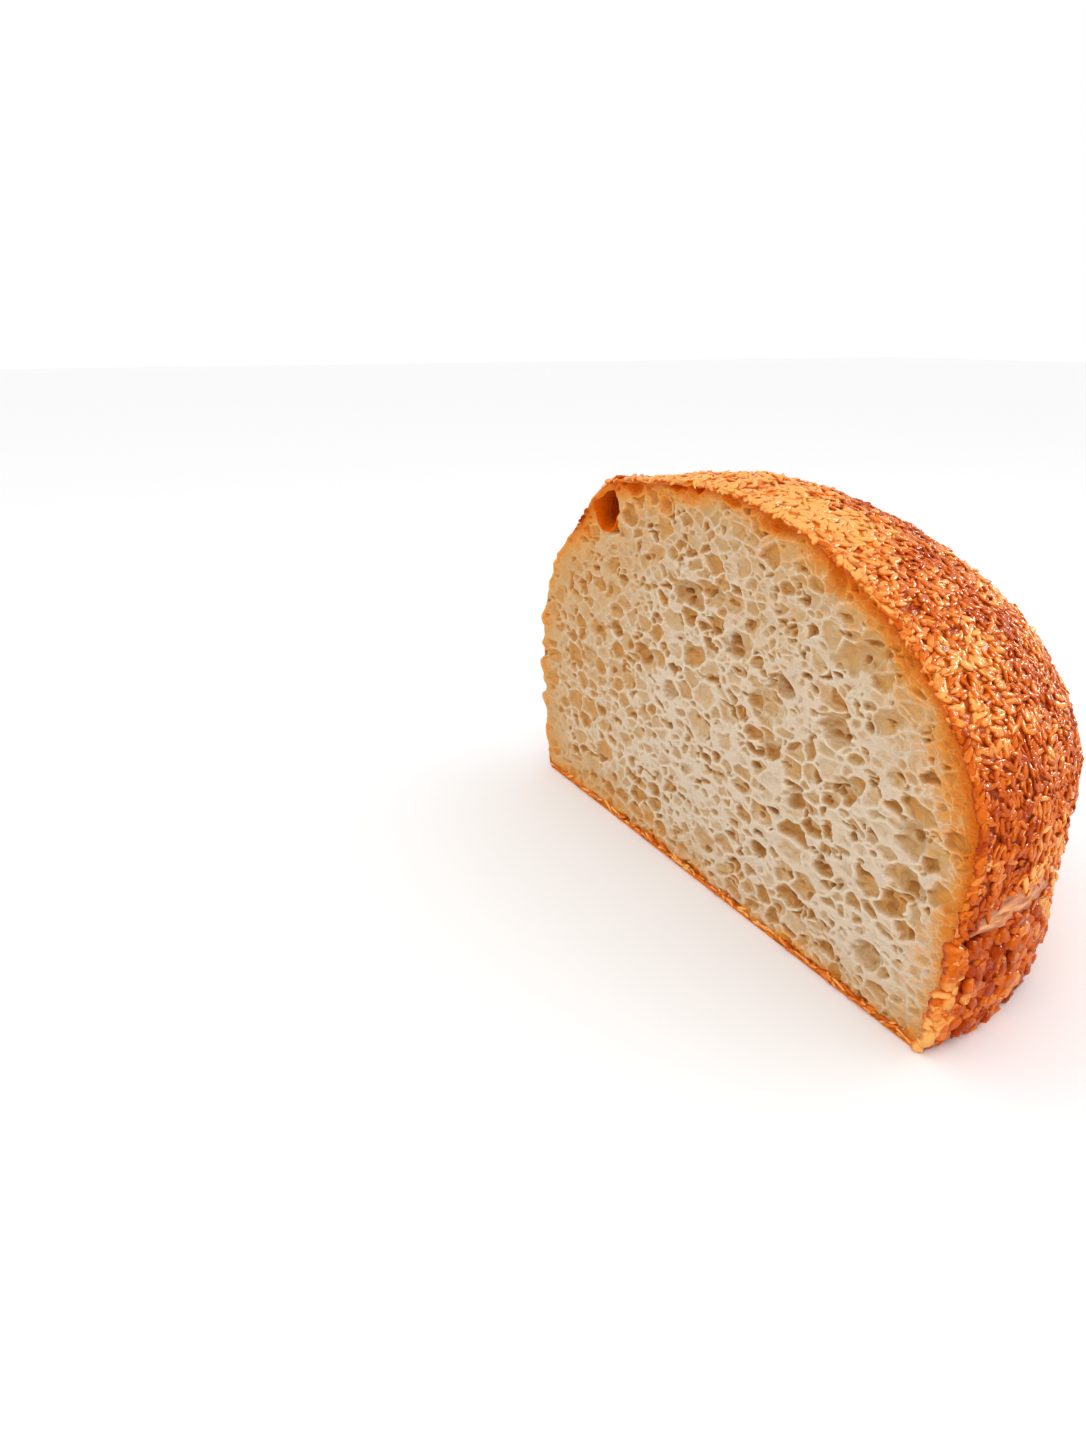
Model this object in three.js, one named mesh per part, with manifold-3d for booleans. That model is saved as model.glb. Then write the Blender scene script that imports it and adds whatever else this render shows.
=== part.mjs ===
// Half of a round, domed, seed-crusted bread, cut straight down through the middle.
// Millimetres, +Z up. The cut face looks along -Y, the cut runs along X, and the
// half stands on its flat bottom crust with the origin under the middle of its box.
import * as THREE from "three";
import { mergeGeometries, mergeVertices } from "three/addons/utils/BufferGeometryUtils.js";
import Module from "manifold-3d";

// Driving dimensions of the half loaf.
const CUT_LENGTH = 222; // end to end along the cut, at the widest girth
const LOAF_DEPTH = 102; // from the cut face to the back of the dome
const LOAF_HEIGHT = 132;
const GIRTH_HEIGHT = 60; // height of the widest girth
const PLAN_POWER = 2.06; // squareness of the outline seen from above
const NEAR_SHOULDER = 1.86; // squareness of the dome at the +X end
const FAR_SHOULDER = 1.95; // squareness of the dome at the -X end
const NEAR_FOOT_INSET = 9; // how far the foot draws in under the girth at the +X end
const FAR_FOOT_INSET = 4; // at the -X end
const BACK_FOOT_INSET = 0.5; // and all round the back
const FOOT_POWER = 1.5; // how late the foot draws in
const END_REACH = 12; // how soon the two ends give way to the back
const FOOT_ROUND = 5; // round of the bottom edge

// The fold that rings the side, where the dome hangs over the darker skirt.
const FOLD_HEIGHT = 37;
const FOLD_DEPTH = 3;
const FOLD_AT_CUT = 0.35; // share of that depth left where the fold meets the cut
const FOLD_SHARPNESS = 1.3; // half height of the step under the lip
const SKIRT_FLARE = 7; // height over which the skirt comes back out below the fold

// Uneven swelling of the crust, and the blister at the far shoulder.
const SWELL = 1.3;
const BLISTER_HEIGHT = 121;
const BLISTER_RISE = 11;
const BLISTER_SPREAD = 9;
const BLISTER_TURN = 0.35; // radians round the loaf from the far end

// The dome is highest a little way behind the cut.
const CROWN_RISE = 3.6;
const CROWN_BEHIND = 26;

// Holes of the crumb that the cut opens: place along the cut, height, length, height, depth.
const HOLES = [
  [-62, 115, 20, 20, 10],
  [-75, 59, 13, 9, 4],
  [-37, 69, 18, 10, 4],
  [-19, 62, 10, 8, 4],
  [-13, 97, 17, 9, 5],
  [2, 99, 9, 8, 4],
  [13, 86, 11, 9, 5],
  [31, 73, 18, 12, 4],
  [36, 80, 13, 8, 6],
  [33, 60, 10, 8, 4],
  [46, 48, 10, 8, 4],
  [59, 75, 14, 10, 6],
  [65, 59, 10, 9, 4],
  [69, 99, 12, 11, 4],
  [89, 56, 10, 11, 6],
  [91, 43, 10, 10, 5],
  [80, 16, 13, 8, 5],
];
const WAVE = 0.9; // gentle unevenness of the cut between the holes
const WAVE_LENGTH = 38;
const RIM_WIDTH = 8; // the cut runs flat into the crust over this width

// The largest seeds of the crust.
const SEED_COUNT = 250;
const SEED_LENGTH = 3.6;
const SEED_WIDTH = 2.3;
const SEED_THICKNESS = 1.7;
const SEED_SPREAD = 0.3; // spread of their sizes
const SEED_TAPER = 0.3; // one end is this much narrower
const SEED_LIFT = 0.05; // its middle lies this share of its thickness above the crust
const SEED_SIDES = 6;
const SEED_CLEARANCE = 4; // seeds keep this far from the cut, the fold and the floor
const RANDOM_SEED = 20;

// Fineness of the faceted surfaces.
const TURN_STEPS = 38; // round the crust
const CUT_STEPS = 62; // along the cut
const DOME_ROWS = 14; // from the top to the girth
const SIDE_LEVELS = [GIRTH_HEIGHT, 53, 46, 41, 38.3, 36.2, 32, 26, 19, 12, 6, 2, 0];
const ROWS = DOME_ROWS + SIDE_LEVELS.length - 1;
const WELD = 0.001; // points this close are one point
const NUDGE = 0.01; // small step along the crust that gives its slope

const CUT_PLANE = -LOAF_DEPTH / 2;

// A repeatable draw between 0 and 1.
function makeDraw(start) {
  let state = start;
  return () => {
    state = (state * 1664525 + 1013904223) % 4294967296;
    return state / 4294967296;
  };
}

// Distance from the middle of the cut to the widest girth, in the direction of turn.
function girthRadius(turn) {
  const along = Math.pow(Math.abs(Math.cos(turn)) / (CUT_LENGTH / 2), PLAN_POWER);
  const back = Math.pow(Math.sin(turn) / LOAF_DEPTH, PLAN_POWER);
  return Math.pow(along + back, -1 / PLAN_POWER);
}

// A bell of height 1 that falls off over the given spread.
function bell(distance, spread) {
  return Math.exp(-Math.pow(distance / spread, 2));
}

// How far the crust swells out of, or draws in from, its plain form.
function crustSwell(turn, height) {
  return SWELL * (0.5 * Math.sin(3 * turn + height / 25 + 0.6)
    + 0.3 * Math.sin(7 * turn - height / 15 + 1.1)
    + 0.2 * Math.sin(11 * turn + height / 9));
}

// How far the blister lifts the crust.
function blisterRise(turn, height) {
  const around = bell(Math.PI - turn, BLISTER_TURN);
  return BLISTER_RISE * bell(height - BLISTER_HEIGHT, BLISTER_SPREAD) * around;
}

// How far the crown lifts the top at a radius behind the cut.
function crownRise(turn, radius) {
  const out = radius / CROWN_BEHIND;
  return CROWN_RISE * Math.sin(turn) * out * Math.exp(1 - out);
}

// How far the side draws in below the girth: the tapering skirt, the step under
// the fold's lip and the round of the bottom edge.
function sideInset(turn, height) {
  const toNear = Math.pow((1 + Math.cos(turn)) / 2, END_REACH);
  const toFar = Math.pow((1 - Math.cos(turn)) / 2, END_REACH);
  const inset = BACK_FOOT_INSET + (NEAR_FOOT_INSET - BACK_FOOT_INSET) * toNear
    + (FAR_FOOT_INSET - BACK_FOOT_INSET) * toFar;
  const drop = Math.pow(1 - height / GIRTH_HEIGHT, FOOT_POWER);
  const fold = FOLD_DEPTH * (FOLD_AT_CUT + (1 - FOLD_AT_CUT) * Math.sin(turn));
  const under = FOLD_HEIGHT - height;
  const step = 1 / (1 + Math.exp(-2 * under / FOLD_SHARPNESS));
  const flare = under > 0 ? Math.exp(-under / SKIRT_FLARE) : 1;
  const round = Math.max(0, FOOT_ROUND - height);
  const corner = FOOT_ROUND - Math.sqrt(FOOT_ROUND * FOOT_ROUND - round * round);
  return inset * drop + fold * step * flare + corner / 2;
}

// A point of the crust: turn runs from the near end (0) round the back to the
// far end (pi), row runs from the top down the dome and the side to the floor.
function crustPoint(turn, row) {
  const girth = girthRadius(turn);
  const toFar = (1 - Math.cos(turn)) / 2;
  const power = NEAR_SHOULDER + (FAR_SHOULDER - NEAR_SHOULDER) * toFar;
  let radius = girth;
  let height = LOAF_HEIGHT;
  if (row <= DOME_ROWS) {
    const lean = (row / DOME_ROWS) * (Math.PI / 2);
    radius = girth * Math.pow(Math.sin(lean), 2 / power);
    const rise = Math.pow(Math.max(0, Math.cos(lean)), 2 / power);
    height = GIRTH_HEIGHT + (LOAF_HEIGHT - GIRTH_HEIGHT) * rise;
  } else {
    const above = Math.floor(row) - DOME_ROWS;
    const below = Math.min(above + 1, SIDE_LEVELS.length - 1);
    height = THREE.MathUtils.lerp(SIDE_LEVELS[above], SIDE_LEVELS[below], row - Math.floor(row));
    radius = girth - sideInset(turn, height);
  }
  const fromTop = radius / girth;
  const blister = blisterRise(turn, height) * fromTop;
  const outward = radius + crustSwell(turn, height) * fromTop + blister / 4;
  const onTop = row <= DOME_ROWS ? crownRise(turn, radius) + blister : 0;
  return new THREE.Vector3(
    outward * Math.cos(turn),
    CUT_PLANE + outward * Math.sin(turn),
    height + onTop,
  );
}

// How deep the cut face dips at a place: its gentle wave and its open holes.
function cutDepth(x, z, fromRim) {
  const phase = (2 * Math.PI) / WAVE_LENGTH;
  const wave = WAVE * (1 + Math.sin(x * phase + 1) * Math.cos(z * phase)) / 2;
  let depth = wave;
  for (const [holeX, holeZ, long, tall, deep] of HOLES) {
    const away = Math.hypot((x - holeX) / (long / 2), (z - holeZ) / (tall / 2));
    depth = Math.max(depth, deep * (1 - away * away));
  }
  return depth * Math.min(1, fromRim / RIM_WIDTH);
}

// A point of the cut face: across runs from the near crust (0) to the far crust (1).
function cutPoint(across, row) {
  const near = crustPoint(0, row);
  const far = crustPoint(Math.PI, row);
  const point = near.clone().lerp(far, across);
  const fromEnds = Math.min(across, 1 - across) * near.distanceTo(far);
  const fromRim = Math.min(fromEnds, point.z);
  point.y = CUT_PLANE + cutDepth(point.x, point.z, fromRim);
  return point;
}

// Two triangles for each cell of a grid of points, one where the top row is a point.
function gridFaces(steps, pointAt, faceOut) {
  const faces = [];
  for (let step = 0; step < steps; step += 1) {
    for (let row = 0; row < ROWS; row += 1) {
      const a = pointAt(step, row);
      const b = pointAt(step, row + 1);
      const c = pointAt(step + 1, row + 1);
      const d = pointAt(step + 1, row);
      faces.push(faceOut ? [a, b, c] : [a, c, b]);
      if (row > 0) faces.push(faceOut ? [a, c, d] : [a, d, c]);
    }
  }
  return faces;
}

// The flat bottom crust: a strip of triangles between the foot of the crust and the
// foot of the cut, which share both ends.
function floorFaces(crustFoot, cutFoot) {
  const faces = [];
  let turn = 0;
  let along = 0;
  while (turn < TURN_STEPS || along < CUT_STEPS) {
    const corner = [crustFoot[turn], cutFoot[along]];
    const turnNext = (turn + 1) / TURN_STEPS <= (along + 1) / CUT_STEPS;
    if (turnNext) turn += 1;
    else along += 1;
    const next = turnNext ? crustFoot[turn] : cutFoot[along];
    const corners = [...corner, next];
    const sides = corners.map((point, i) => point.distanceTo(corners[(i + 1) % 3]));
    if (Math.min(...sides) > WELD) faces.push(corners);
  }
  return faces;
}

// A geometry with shared corners from loose triangles.
function joinFaces(faces) {
  const corners = new Float32Array(faces.flat().flatMap((point) => point.toArray()));
  const geometry = new THREE.BufferGeometry();
  geometry.setAttribute("position", new THREE.BufferAttribute(corners, 3));
  return mergeVertices(geometry, WELD);
}

// The bare half loaf: crust, cut face and floor.
function loafGeometry() {
  const turnAt = (step) => (step / TURN_STEPS) * Math.PI;
  const crust = gridFaces(TURN_STEPS, (step, row) => crustPoint(turnAt(step), row), true);
  const cut = gridFaces(CUT_STEPS, (step, row) => cutPoint(step / CUT_STEPS, row), false);
  const cutFoot = [];
  for (let step = 0; step <= CUT_STEPS; step += 1) cutFoot.push(cutPoint(step / CUT_STEPS, ROWS));
  const crustFoot = [];
  for (let step = 0; step <= TURN_STEPS; step += 1) crustFoot.push(crustPoint(turnAt(step), ROWS));
  return joinFaces([...crust, ...cut, ...floorFaces(crustFoot, cutFoot)]);
}

// The row at which the given share of the crust's area lies above.
function rowAtShare(share) {
  const back = Math.PI / 2;
  const areas = [];
  let total = 0;
  for (let row = 0; row < ROWS; row += 1) {
    const upper = crustPoint(back, row);
    const lower = crustPoint(back, row + 1);
    total += upper.distanceTo(lower) * (upper.y + lower.y - 2 * CUT_PLANE);
    areas.push(total);
  }
  const row = areas.findIndex((area) => area >= share * total);
  const before = row > 0 ? areas[row - 1] : 0;
  return row + (share * total - before) / (areas[row] - before);
}

// One teardrop seed that lies on the crust, its length along the given heading.
function seedGeometry(size, heading, turn, row) {
  const seed = new THREE.SphereGeometry(1, SEED_SIDES, 2);
  seed.deleteAttribute("normal");
  seed.deleteAttribute("uv");
  seed.rotateX(Math.PI / 2);
  const corners = seed.attributes.position;
  for (let i = 0; i < corners.count; i += 1) {
    corners.setY(i, corners.getY(i) * (1 - SEED_TAPER * corners.getX(i)));
  }
  seed.scale(size * SEED_LENGTH / 2, size * SEED_WIDTH / 2, size * SEED_THICKNESS / 2);
  seed.rotateZ(heading);
  const place = crustPoint(turn, row);
  const round = crustPoint(turn + NUDGE, row).sub(place).normalize();
  const down = crustPoint(turn, row + NUDGE).sub(place).normalize();
  const out = down.clone().cross(round).normalize();
  const side = out.clone().cross(round);
  place.addScaledVector(out, SEED_LIFT * size * SEED_THICKNESS);
  seed.applyMatrix4(new THREE.Matrix4().makeBasis(round, side, out).setPosition(place));
  return mergeVertices(seed);
}

// Seeds spread evenly over the crust: equal steps of area down the loaf, golden
// steps round it, each turned and sized by a repeatable draw.
function seedGeometries() {
  const draw = makeDraw(RANDOM_SEED);
  const golden = (Math.sqrt(5) - 1) / 2;
  const seeds = [];
  for (let i = 0; i < SEED_COUNT; i += 1) {
    const row = rowAtShare((i + 0.5) / SEED_COUNT);
    const turn = Math.PI * ((i * golden) % 1);
    const size = 1 + SEED_SPREAD * (draw() - 0.5);
    const heading = Math.PI * draw();
    const place = crustPoint(turn, row);
    const clearOfCut = place.y - CUT_PLANE > SEED_CLEARANCE;
    const clearOfFold = Math.abs(place.z - FOLD_HEIGHT) > SEED_CLEARANCE;
    const clearOfFloor = place.z > SEED_CLEARANCE;
    if (clearOfCut && clearOfFold && clearOfFloor) seeds.push(seedGeometry(size, heading, turn, row));
  }
  return seeds;
}

const wasm = await Module();
wasm.setup();

function toSolid(geometry) {
  return new wasm.Manifold(new wasm.Mesh({
    numProp: 3,
    vertProperties: new Float32Array(geometry.attributes.position.array),
    triVerts: new Uint32Array(geometry.index.array),
  }));
}

function toGeometry(solid) {
  const mesh = solid.getMesh();
  const geometry = new THREE.BufferGeometry();
  geometry.setAttribute("position", new THREE.BufferAttribute(mesh.vertProperties, 3));
  geometry.setIndex(new THREE.BufferAttribute(mesh.triVerts, 1));
  geometry.computeVertexNormals();
  return geometry;
}

const seededLoaf = toSolid(loafGeometry()).add(toSolid(mergeGeometries(seedGeometries())));

const crustColour = new THREE.MeshStandardMaterial({ color: 0xc8833f, roughness: 0.6, metalness: 0 });
const halfLoaf = new THREE.Mesh(toGeometry(seededLoaf), crustColour);
halfLoaf.name = "half_loaf";

const part = new THREE.Group();
part.add(halfLoaf);

export default part;
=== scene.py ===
import math

import bpy
import bmesh
import numpy as np
from bpy.props import FloatProperty, FloatVectorProperty, IntProperty, PointerProperty
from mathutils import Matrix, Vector


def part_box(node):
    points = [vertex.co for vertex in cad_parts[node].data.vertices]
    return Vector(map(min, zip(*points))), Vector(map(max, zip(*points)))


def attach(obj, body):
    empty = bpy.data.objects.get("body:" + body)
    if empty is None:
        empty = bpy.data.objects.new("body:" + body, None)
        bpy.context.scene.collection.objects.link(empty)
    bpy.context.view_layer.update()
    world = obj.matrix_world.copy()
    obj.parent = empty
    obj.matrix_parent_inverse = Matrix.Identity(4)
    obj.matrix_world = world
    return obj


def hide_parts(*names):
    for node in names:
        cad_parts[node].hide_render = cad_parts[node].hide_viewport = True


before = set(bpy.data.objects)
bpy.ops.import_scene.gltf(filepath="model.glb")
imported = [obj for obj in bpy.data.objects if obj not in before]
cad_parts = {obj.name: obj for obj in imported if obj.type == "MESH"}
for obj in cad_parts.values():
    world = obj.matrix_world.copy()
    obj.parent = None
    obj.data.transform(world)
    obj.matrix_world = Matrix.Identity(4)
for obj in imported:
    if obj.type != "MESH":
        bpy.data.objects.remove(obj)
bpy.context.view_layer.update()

bl_info = {
    "name": "Half Loaf",
    "version": (1, 0, 0),
    "blender": (4, 5, 0),
    "location": "View3D > Sidebar > Half Loaf",
    "description": "Dresses the half of a seeded round loaf with its crumb, crust and seeds",
    "category": "Object",
}

NODE = "half_loaf"
BODY = "root"
MM = 0.001
CUT_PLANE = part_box(NODE)[0].y

# The form of the loaf, in the proportions of its solid.
GIRTH_SHARE = 60 / 132
PLAN_POWER = 2.06
NEAR_SHOULDER = 1.86
FAR_SHOULDER = 1.95
NEAR_FOOT_INSET = 9 * MM
FAR_FOOT_INSET = 4 * MM
BACK_FOOT_INSET = 0.5 * MM
FOOT_POWER = 1.5
END_REACH = 12
FOOT_ROUND = 5 * MM
FOLD_DEPTH = 3 * MM
FOLD_AT_CUT = 0.35
FOLD_SHARPNESS = 1.3 * MM
SKIRT_FLARE = 7 * MM
SWELL = 1.3 * MM
BLISTER_HEIGHT = 121 * MM
BLISTER_RISE = 11 * MM
BLISTER_SPREAD = 9 * MM
BLISTER_TURN = 0.35
CROWN_RISE = 3.6 * MM
CROWN_BEHIND = 26 * MM
DOME_SHARE = 0.7

# Waves of the swelling: strength, waves round the loaf, height over which they wind in mm, start.
SWELL_WAVES = ((0.5, 3, 25, 0.6), (0.3, 7, -15, 1.1), (0.2, 11, 9, 0.0))

# The scorched pocket at the far top and the holes that stand out on the cut: place along it,
# height above the floor, length, height, depth in mm.
POCKET = (-64, 117, 17, 18, 11)
HOLES = (
    (-75, 59, 13, 9, 4),
    (-37, 69, 18, 10, 4),
    (-19, 62, 10, 8, 4),
    (-13, 97, 17, 9, 5),
    (2, 99, 9, 8, 4),
    (13, 86, 11, 9, 5),
    (31, 73, 18, 12, 4),
    (36, 80, 13, 8, 6),
    (33, 60, 10, 8, 4),
    (46, 48, 10, 8, 4),
    (59, 75, 14, 10, 6),
    (65, 59, 10, 9, 4),
    (69, 99, 12, 11, 4),
    (89, 56, 10, 11, 6),
    (91, 43, 10, 10, 5),
    (80, 16, 13, 8, 5),
)

# Bubbles close under the crust, seen through its amber edge; sizes as for the holes.
BUBBLES = (
    (-45, 126, 11, 7, 3),
    (-27, 123, 9, 7, 4),
    (-20, 130, 12, 4, 3),
    (-9, 131, 10, 5, 4),
    (9, 129, 12, 5, 2),
    (31, 125, 22, 6, 2.5),
    (54, 115, 9, 13, 3),
)

# Factors that mix a lattice corner and a pattern's number into one draw, the shifts and factors
# that fold its high bits onto the low ones, and a shift that keeps the corners above 0.
AXIS_FACTORS = (73856093, 19349663, 83492791)
PATTERN_FACTOR = 2654435761
FOLDS = ((15, 2246822519), (13, 3266489917))
LOW_BITS = np.uint64(0xFFFFFFFF)
LATTICE_SHIFT = 1000.0

# Clouds, each (strength, size in mm, pattern number). They push the cells along the cut and
# upwards in mm, wave the knife's start in mm, tear the flaps of the far end in mm, make the
# edge of the crumb uneven in mm and its amber patchy, brown the crust and paint light and shade
# on its lumps, lift it in mm, vary the thickness and the tone of its rim, and break up its fold.
# A lump of the crust is a size and a pattern that lift it and, as painted light and shade, make
# it paler on the lumps and darker between them.
LUMP = (6, 41)
PUSH_ALONG = ((0.9, 4.5, 11), (0.45, 1.5, 12))
PUSH_UP = ((0.9, 4.5, 13), (0.45, 1.5, 14))
KNIFE_WAVES = ((0.5, 8, 16), (0.2, 3, 17))
FLAP_CLOUDS = ((2.6, 5, 51), (0.9, 2, 52))
EDGE_CLOUDS = ((0.2, 2.2, 18),)
AMBER_CLOUDS = ((0.4, 13, 21),)
BAKED_AND_LUMP_SHADE_CLOUDS = ((0.22, 34, 31), (0.24, 11, 32), (-0.2, *LUMP))
CRUST_CLOUDS = ((0.6, *LUMP), (0.25, 2.2, 42))
CRUST_BUMPS = ((0.3, 3, 43),)
RIM_CLOUDS = ((0.5, 5, 45), (0.3, 1.5, 46))
LIP_CLOUDS = ((0.25, 3, 47),)
FOLD_CLOUDS = ((0.5, 9, 61),)

# Broad patches on the dome, paler or browner than the rest: place along the cut, place behind
# it, spread along, spread back in mm, and how much browner. The paler one is partly the crust's
# own colour and partly a painted highlight.
BAKED_AND_LIT_PATCHES = (
    (40, 13, 11, 11, -0.6),
    (65, 12, 8, 8, 0.28),
    (66, 35, 15, 13, 0.28),
    (97, 14, 14, 16, 0.2),
    (111, 5, 7, 7, 0.2),
)

# How brown the crust is: all over; on the skirt, which begins softly below the fold and is paler
# close to the cut; on the crown, browner behind and paler by the cut, but less so at the far end.
# The darker skirt is partly painted shade and the paler crown by the cut partly painted light
# from above, the rest the crust's own browning. A range is where something begins and over what
# length it grows.
EVEN_TONE = 0.5
SKIRT_TONE = 0.2
SKIRT_DROP = 1 * MM
SKIRT_FADE = 1.5 * MM
SKIRT_EDGE = 5 * MM
SKIRT_EDGE_PALER = 0.5
CROWN_RANGE = (0.095, 0.04)
CROWN_BROWNER = 0.1
CROWN_PALER = 0.32
CROWN_DEPTH = 45 * MM
PALE_FAR = 0.5
PALE_RANGE = (-70 * MM, 50 * MM)

# The fold's lip and crease: height, place above the fold and width in mm. Then the bare skin along
# it: the depth behind the cut in which its course is counted, how far above the fold it lies at the
# cut and how much higher behind, its widths above and below that line in mm, how strong it is at
# the cut and how much more behind, and where along that depth it is strongest, with its spread.
FOLD_BELLS = ((0.9, 1.2, 1.6), (-0.7, -1.6, 1.2))
STRETCH_DEPTH = 30 * MM
STRETCH_RISE = (0.6, 2.4)
STRETCH_WIDTHS = (6.0, 1.8)
STRETCH_START = (0.55, 0.45)
STRETCH_BELL = (0.4, 1.2)

# Where the crust is free of seeds: the largest share of them missing, the range towards the far
# end, and how far behind the cut.
BARE_MOST = 0.7
BARE_RANGE = (25 * MM, 25 * MM)
BARE_DEPTH = 18 * MM

# How fast the relief of the crust grows from the top, from the floor and from the cut.
TOP_GROWTH = 20
FLOOR_GROWTH = 30
CUT_GROWTH = 12

# One seed of unit half length: its top, its two rings (radius, height), its keel, how much its one
# end tapers; then how far seeds tip over, and how far their even places are shaken. The two-way
# golden number is the root of g^3 = g + 1.
SEED_TOP = 0.85
SEED_RINGS = ((0.7, 0.9), (1.0, 0.0))
SEED_KEEL = -0.9
SEED_TAPER = 0.3
SEED_TIP = 0.2
SEED_SHAKE = 0.45
TWO_WAY_GOLDEN = 1.32471795724474602596

# The warm glint of crust and seeds.
WARM_GLINT = (1.0, 0.6, 0.25, 1.0)

# Seeds on the rim of the cut: how far they reach past it, how near to it they lie in radians
# round the loaf, how much they lean over it, the share on the near side, from where to where they
# go down there, and how much of that on the far side.
RIM_REACH = 1.2 * MM
RIM_TURN = 0.006
RIM_LEAN = 0.6
RIM_NEAR_SHARE = 0.78
RIM_DOWN = (0.02, 0.97)
RIM_FAR_DOWN = 0.28

# Thin strands of crust along the floor line of the cut: their heights above the floor, and how
# far behind the cut they sit; then how much browner the seeds on the rim and these strands are.
BASE_HEIGHTS = (1.25 * MM, 2.3 * MM)
BASE_SUNK = 0.2 * MM
RIM_TONE = 0.05
BASE_TONE = 0.18

# How much longer, wider and thicker than others the seeds of the skirt and the strands are.
SKIRT_FORM = (1.05, 2.1, 2.5)
BASE_FORM = (1.3, 0.55, 0.7)

# Size classes of the crumb's cells: smallest and largest half height in mm, and throws.
CELL_CLASSES = (
    (3.4, 4.8, 500),
    (2.6, 3.4, 3500),
    (2.0, 2.6, 8000),
    (1.5, 2.0, 16000),
    (1.0, 1.5, 24000),
    (0.7, 1.0, 30000),
)

# How cells are thrown: the front and back of their slab, the number that starts the draws, the
# least half height, how close they may lie, how flat, uneven and tilted they are, and how much
# small ones are favoured; their half height at the crust and its growth from there; and the
# patches of larger and smaller ones: size, pattern, mean and least half height in mm.
CELL_FRONT = -2.6 * MM
CELL_BACK = 10 * MM
CELL_DRAWS = 7
LEAST_CELL = 0.55 * MM
CELL_OVERLAP = 0.94
CELL_FLATNESS = 0.75
CELL_UNEVEN = 0.1
CELL_TILT = 0.2
SMALL_BIAS = 1.5
EDGE_CELL = 0.6 * MM
EDGE_GROWTH = 0.3
CELL_PATCH = 15 * MM
PATCH_PATTERN = 54
PATCH_HALF = 2.4
LEAST_PATCH_HALF = 0.9

# Shelves along the cut on which cells stand: their length and room.
SHELF = 10 * MM
SHELF_ROOM = 4000

# Levels behind the cut at which cells are looked up, how far cells swell into each other, and how
# far round a cell that is worked out.
LEVELS = 25
LEVEL_STEP = 0.3 * MM
CELL_SWELL = 0.42
CELL_MARGIN = 0.3
ROW_MARGIN = 1.2 * MM

# Tears in the walls of cells: their size, the limit above which walls are open, and their pattern.
TEAR_SIZE = 2.6 * MM
TEAR_LIMIT = 0.42
TEAR_PATTERN = 15

# How the cells show on the cut: the shares of the holes' and the cells' depth that are kept, how
# much calmer cells are by the arch and how far in, how round and how deep single cells are, the
# least slope at a rim, how far cells may sink into smooth hollows, the depth that counts as full
# shade, how much the knife's start shades, passes of softening behind what stands out, and points
# along the arch.
HOLLOW_SHARE = 0.75
CELL_RELIEF = 0.66
CELL_CALM = 0.45
CALM_REACH = 20 * MM
CELL_ROUND = (0.5, 0.9)
CELL_SHARE = (0.6, 1.15)
LEAST_SLOPE = 0.3
SMOOTH_SLACK = 0.3 * MM
SHADE_SPAN = 3.4 * MM
START_SHADE = 0.4
STAND_PASSES = 30
EDGE_POINTS = 160

# The edge of the cut: how far inside the crust it stops as a share of the crust, how the rows
# crowd towards the top, over what width the knife's start and the cells settle towards it, and how
# deep it lies in mm.
CRUMB_EDGE = 0.35
ROW_CROWDING = 1.15
SETTLE_WIDTH = 6 * MM
EDGE_WIDTH = 1.3 * MM
EDGE_SUNK = 0.1

# The far end, where the crumb shows right to the edge: from which height to which, and how it
# fades there; how far its flaps reach in mm; how far it bulges past the cut, and over what width;
# where along the cut it begins, how it grows, and how much flatter it is.
FAR_END = (4 * MM, 108 * MM)
FAR_END_FADE = 8 * MM
FLAP_REACH = 0.9
LEAST_FLAP = -0.6
FAR_BULGE = 0.9 * MM
FAR_BULGE_WIDTH = 9 * MM
FAR_START = 0.15
FAR_SPAN = 0.5
FAR_GROWTH = 1.8
FAR_FLATTER = 0.3

# How much more tan than cream the crumb is: all over, at the far end, at the top (with the height
# it grows from and over), by the floor (with the middle and spread of its bell), along the arch
# and on the far edge (with their reach).
TAN_EVEN = -0.22
TAN_FAR = 0.3
TAN_TOP = 0.35
TAN_TOP_RANGE = (20 * MM, 90 * MM)
TAN_FLOOR = 0.4
TAN_FLOOR_BELL = (6 * MM, 10 * MM)
TAN_ARCH = 0.2
TAN_ARCH_REACH = 10 * MM
TAN_EDGE = 0.3
TAN_EDGE_WIDTH = 18 * MM

# How far the amber of the crust reaches into the crumb: along the arch and how much more at the
# near end, in mm, and up from the floor; how much of it is missing at the far end, with its range
# in half lengths of the cut, and low at the near end; how golden the crumb is all over, with its
# ranges to the far end and the top; how amber bubbles are, and the pocket at its rim and in its
# middle. The pocket's depth has a level part and a part that slants.
AMBER_REACH = 4.4
AMBER_NEAR_REACH = 3.7
AMBER_FLOOR_REACH = 2.6 * MM
AMBER_LESS_FAR = 0.65
AMBER_FAR = (0.6, 0.3)
AMBER_LESS_LOW = 0.8
AMBER_LOW = 70 * MM
GOLDEN_SHARE = 0.05
GOLDEN_FAR = (0.15, 0.4)
GOLDEN_TOP = (35 * MM, 80 * MM)
BUBBLE_AMBER = 0.25
POCKET_AMBER = (0.9, 1.8)
POCKET_SLANT = (0.6, 0.4)


def linear(red, green, blue):
    """Scene-linear colour of a display colour given in 0 to 255."""
    channels = []
    for value in (red, green, blue):
        share = value / 255
        channels.append(share / 12.92 if share <= 0.04045 else ((share + 0.055) / 1.055) ** 2.4)
    return tuple(channels)


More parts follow.
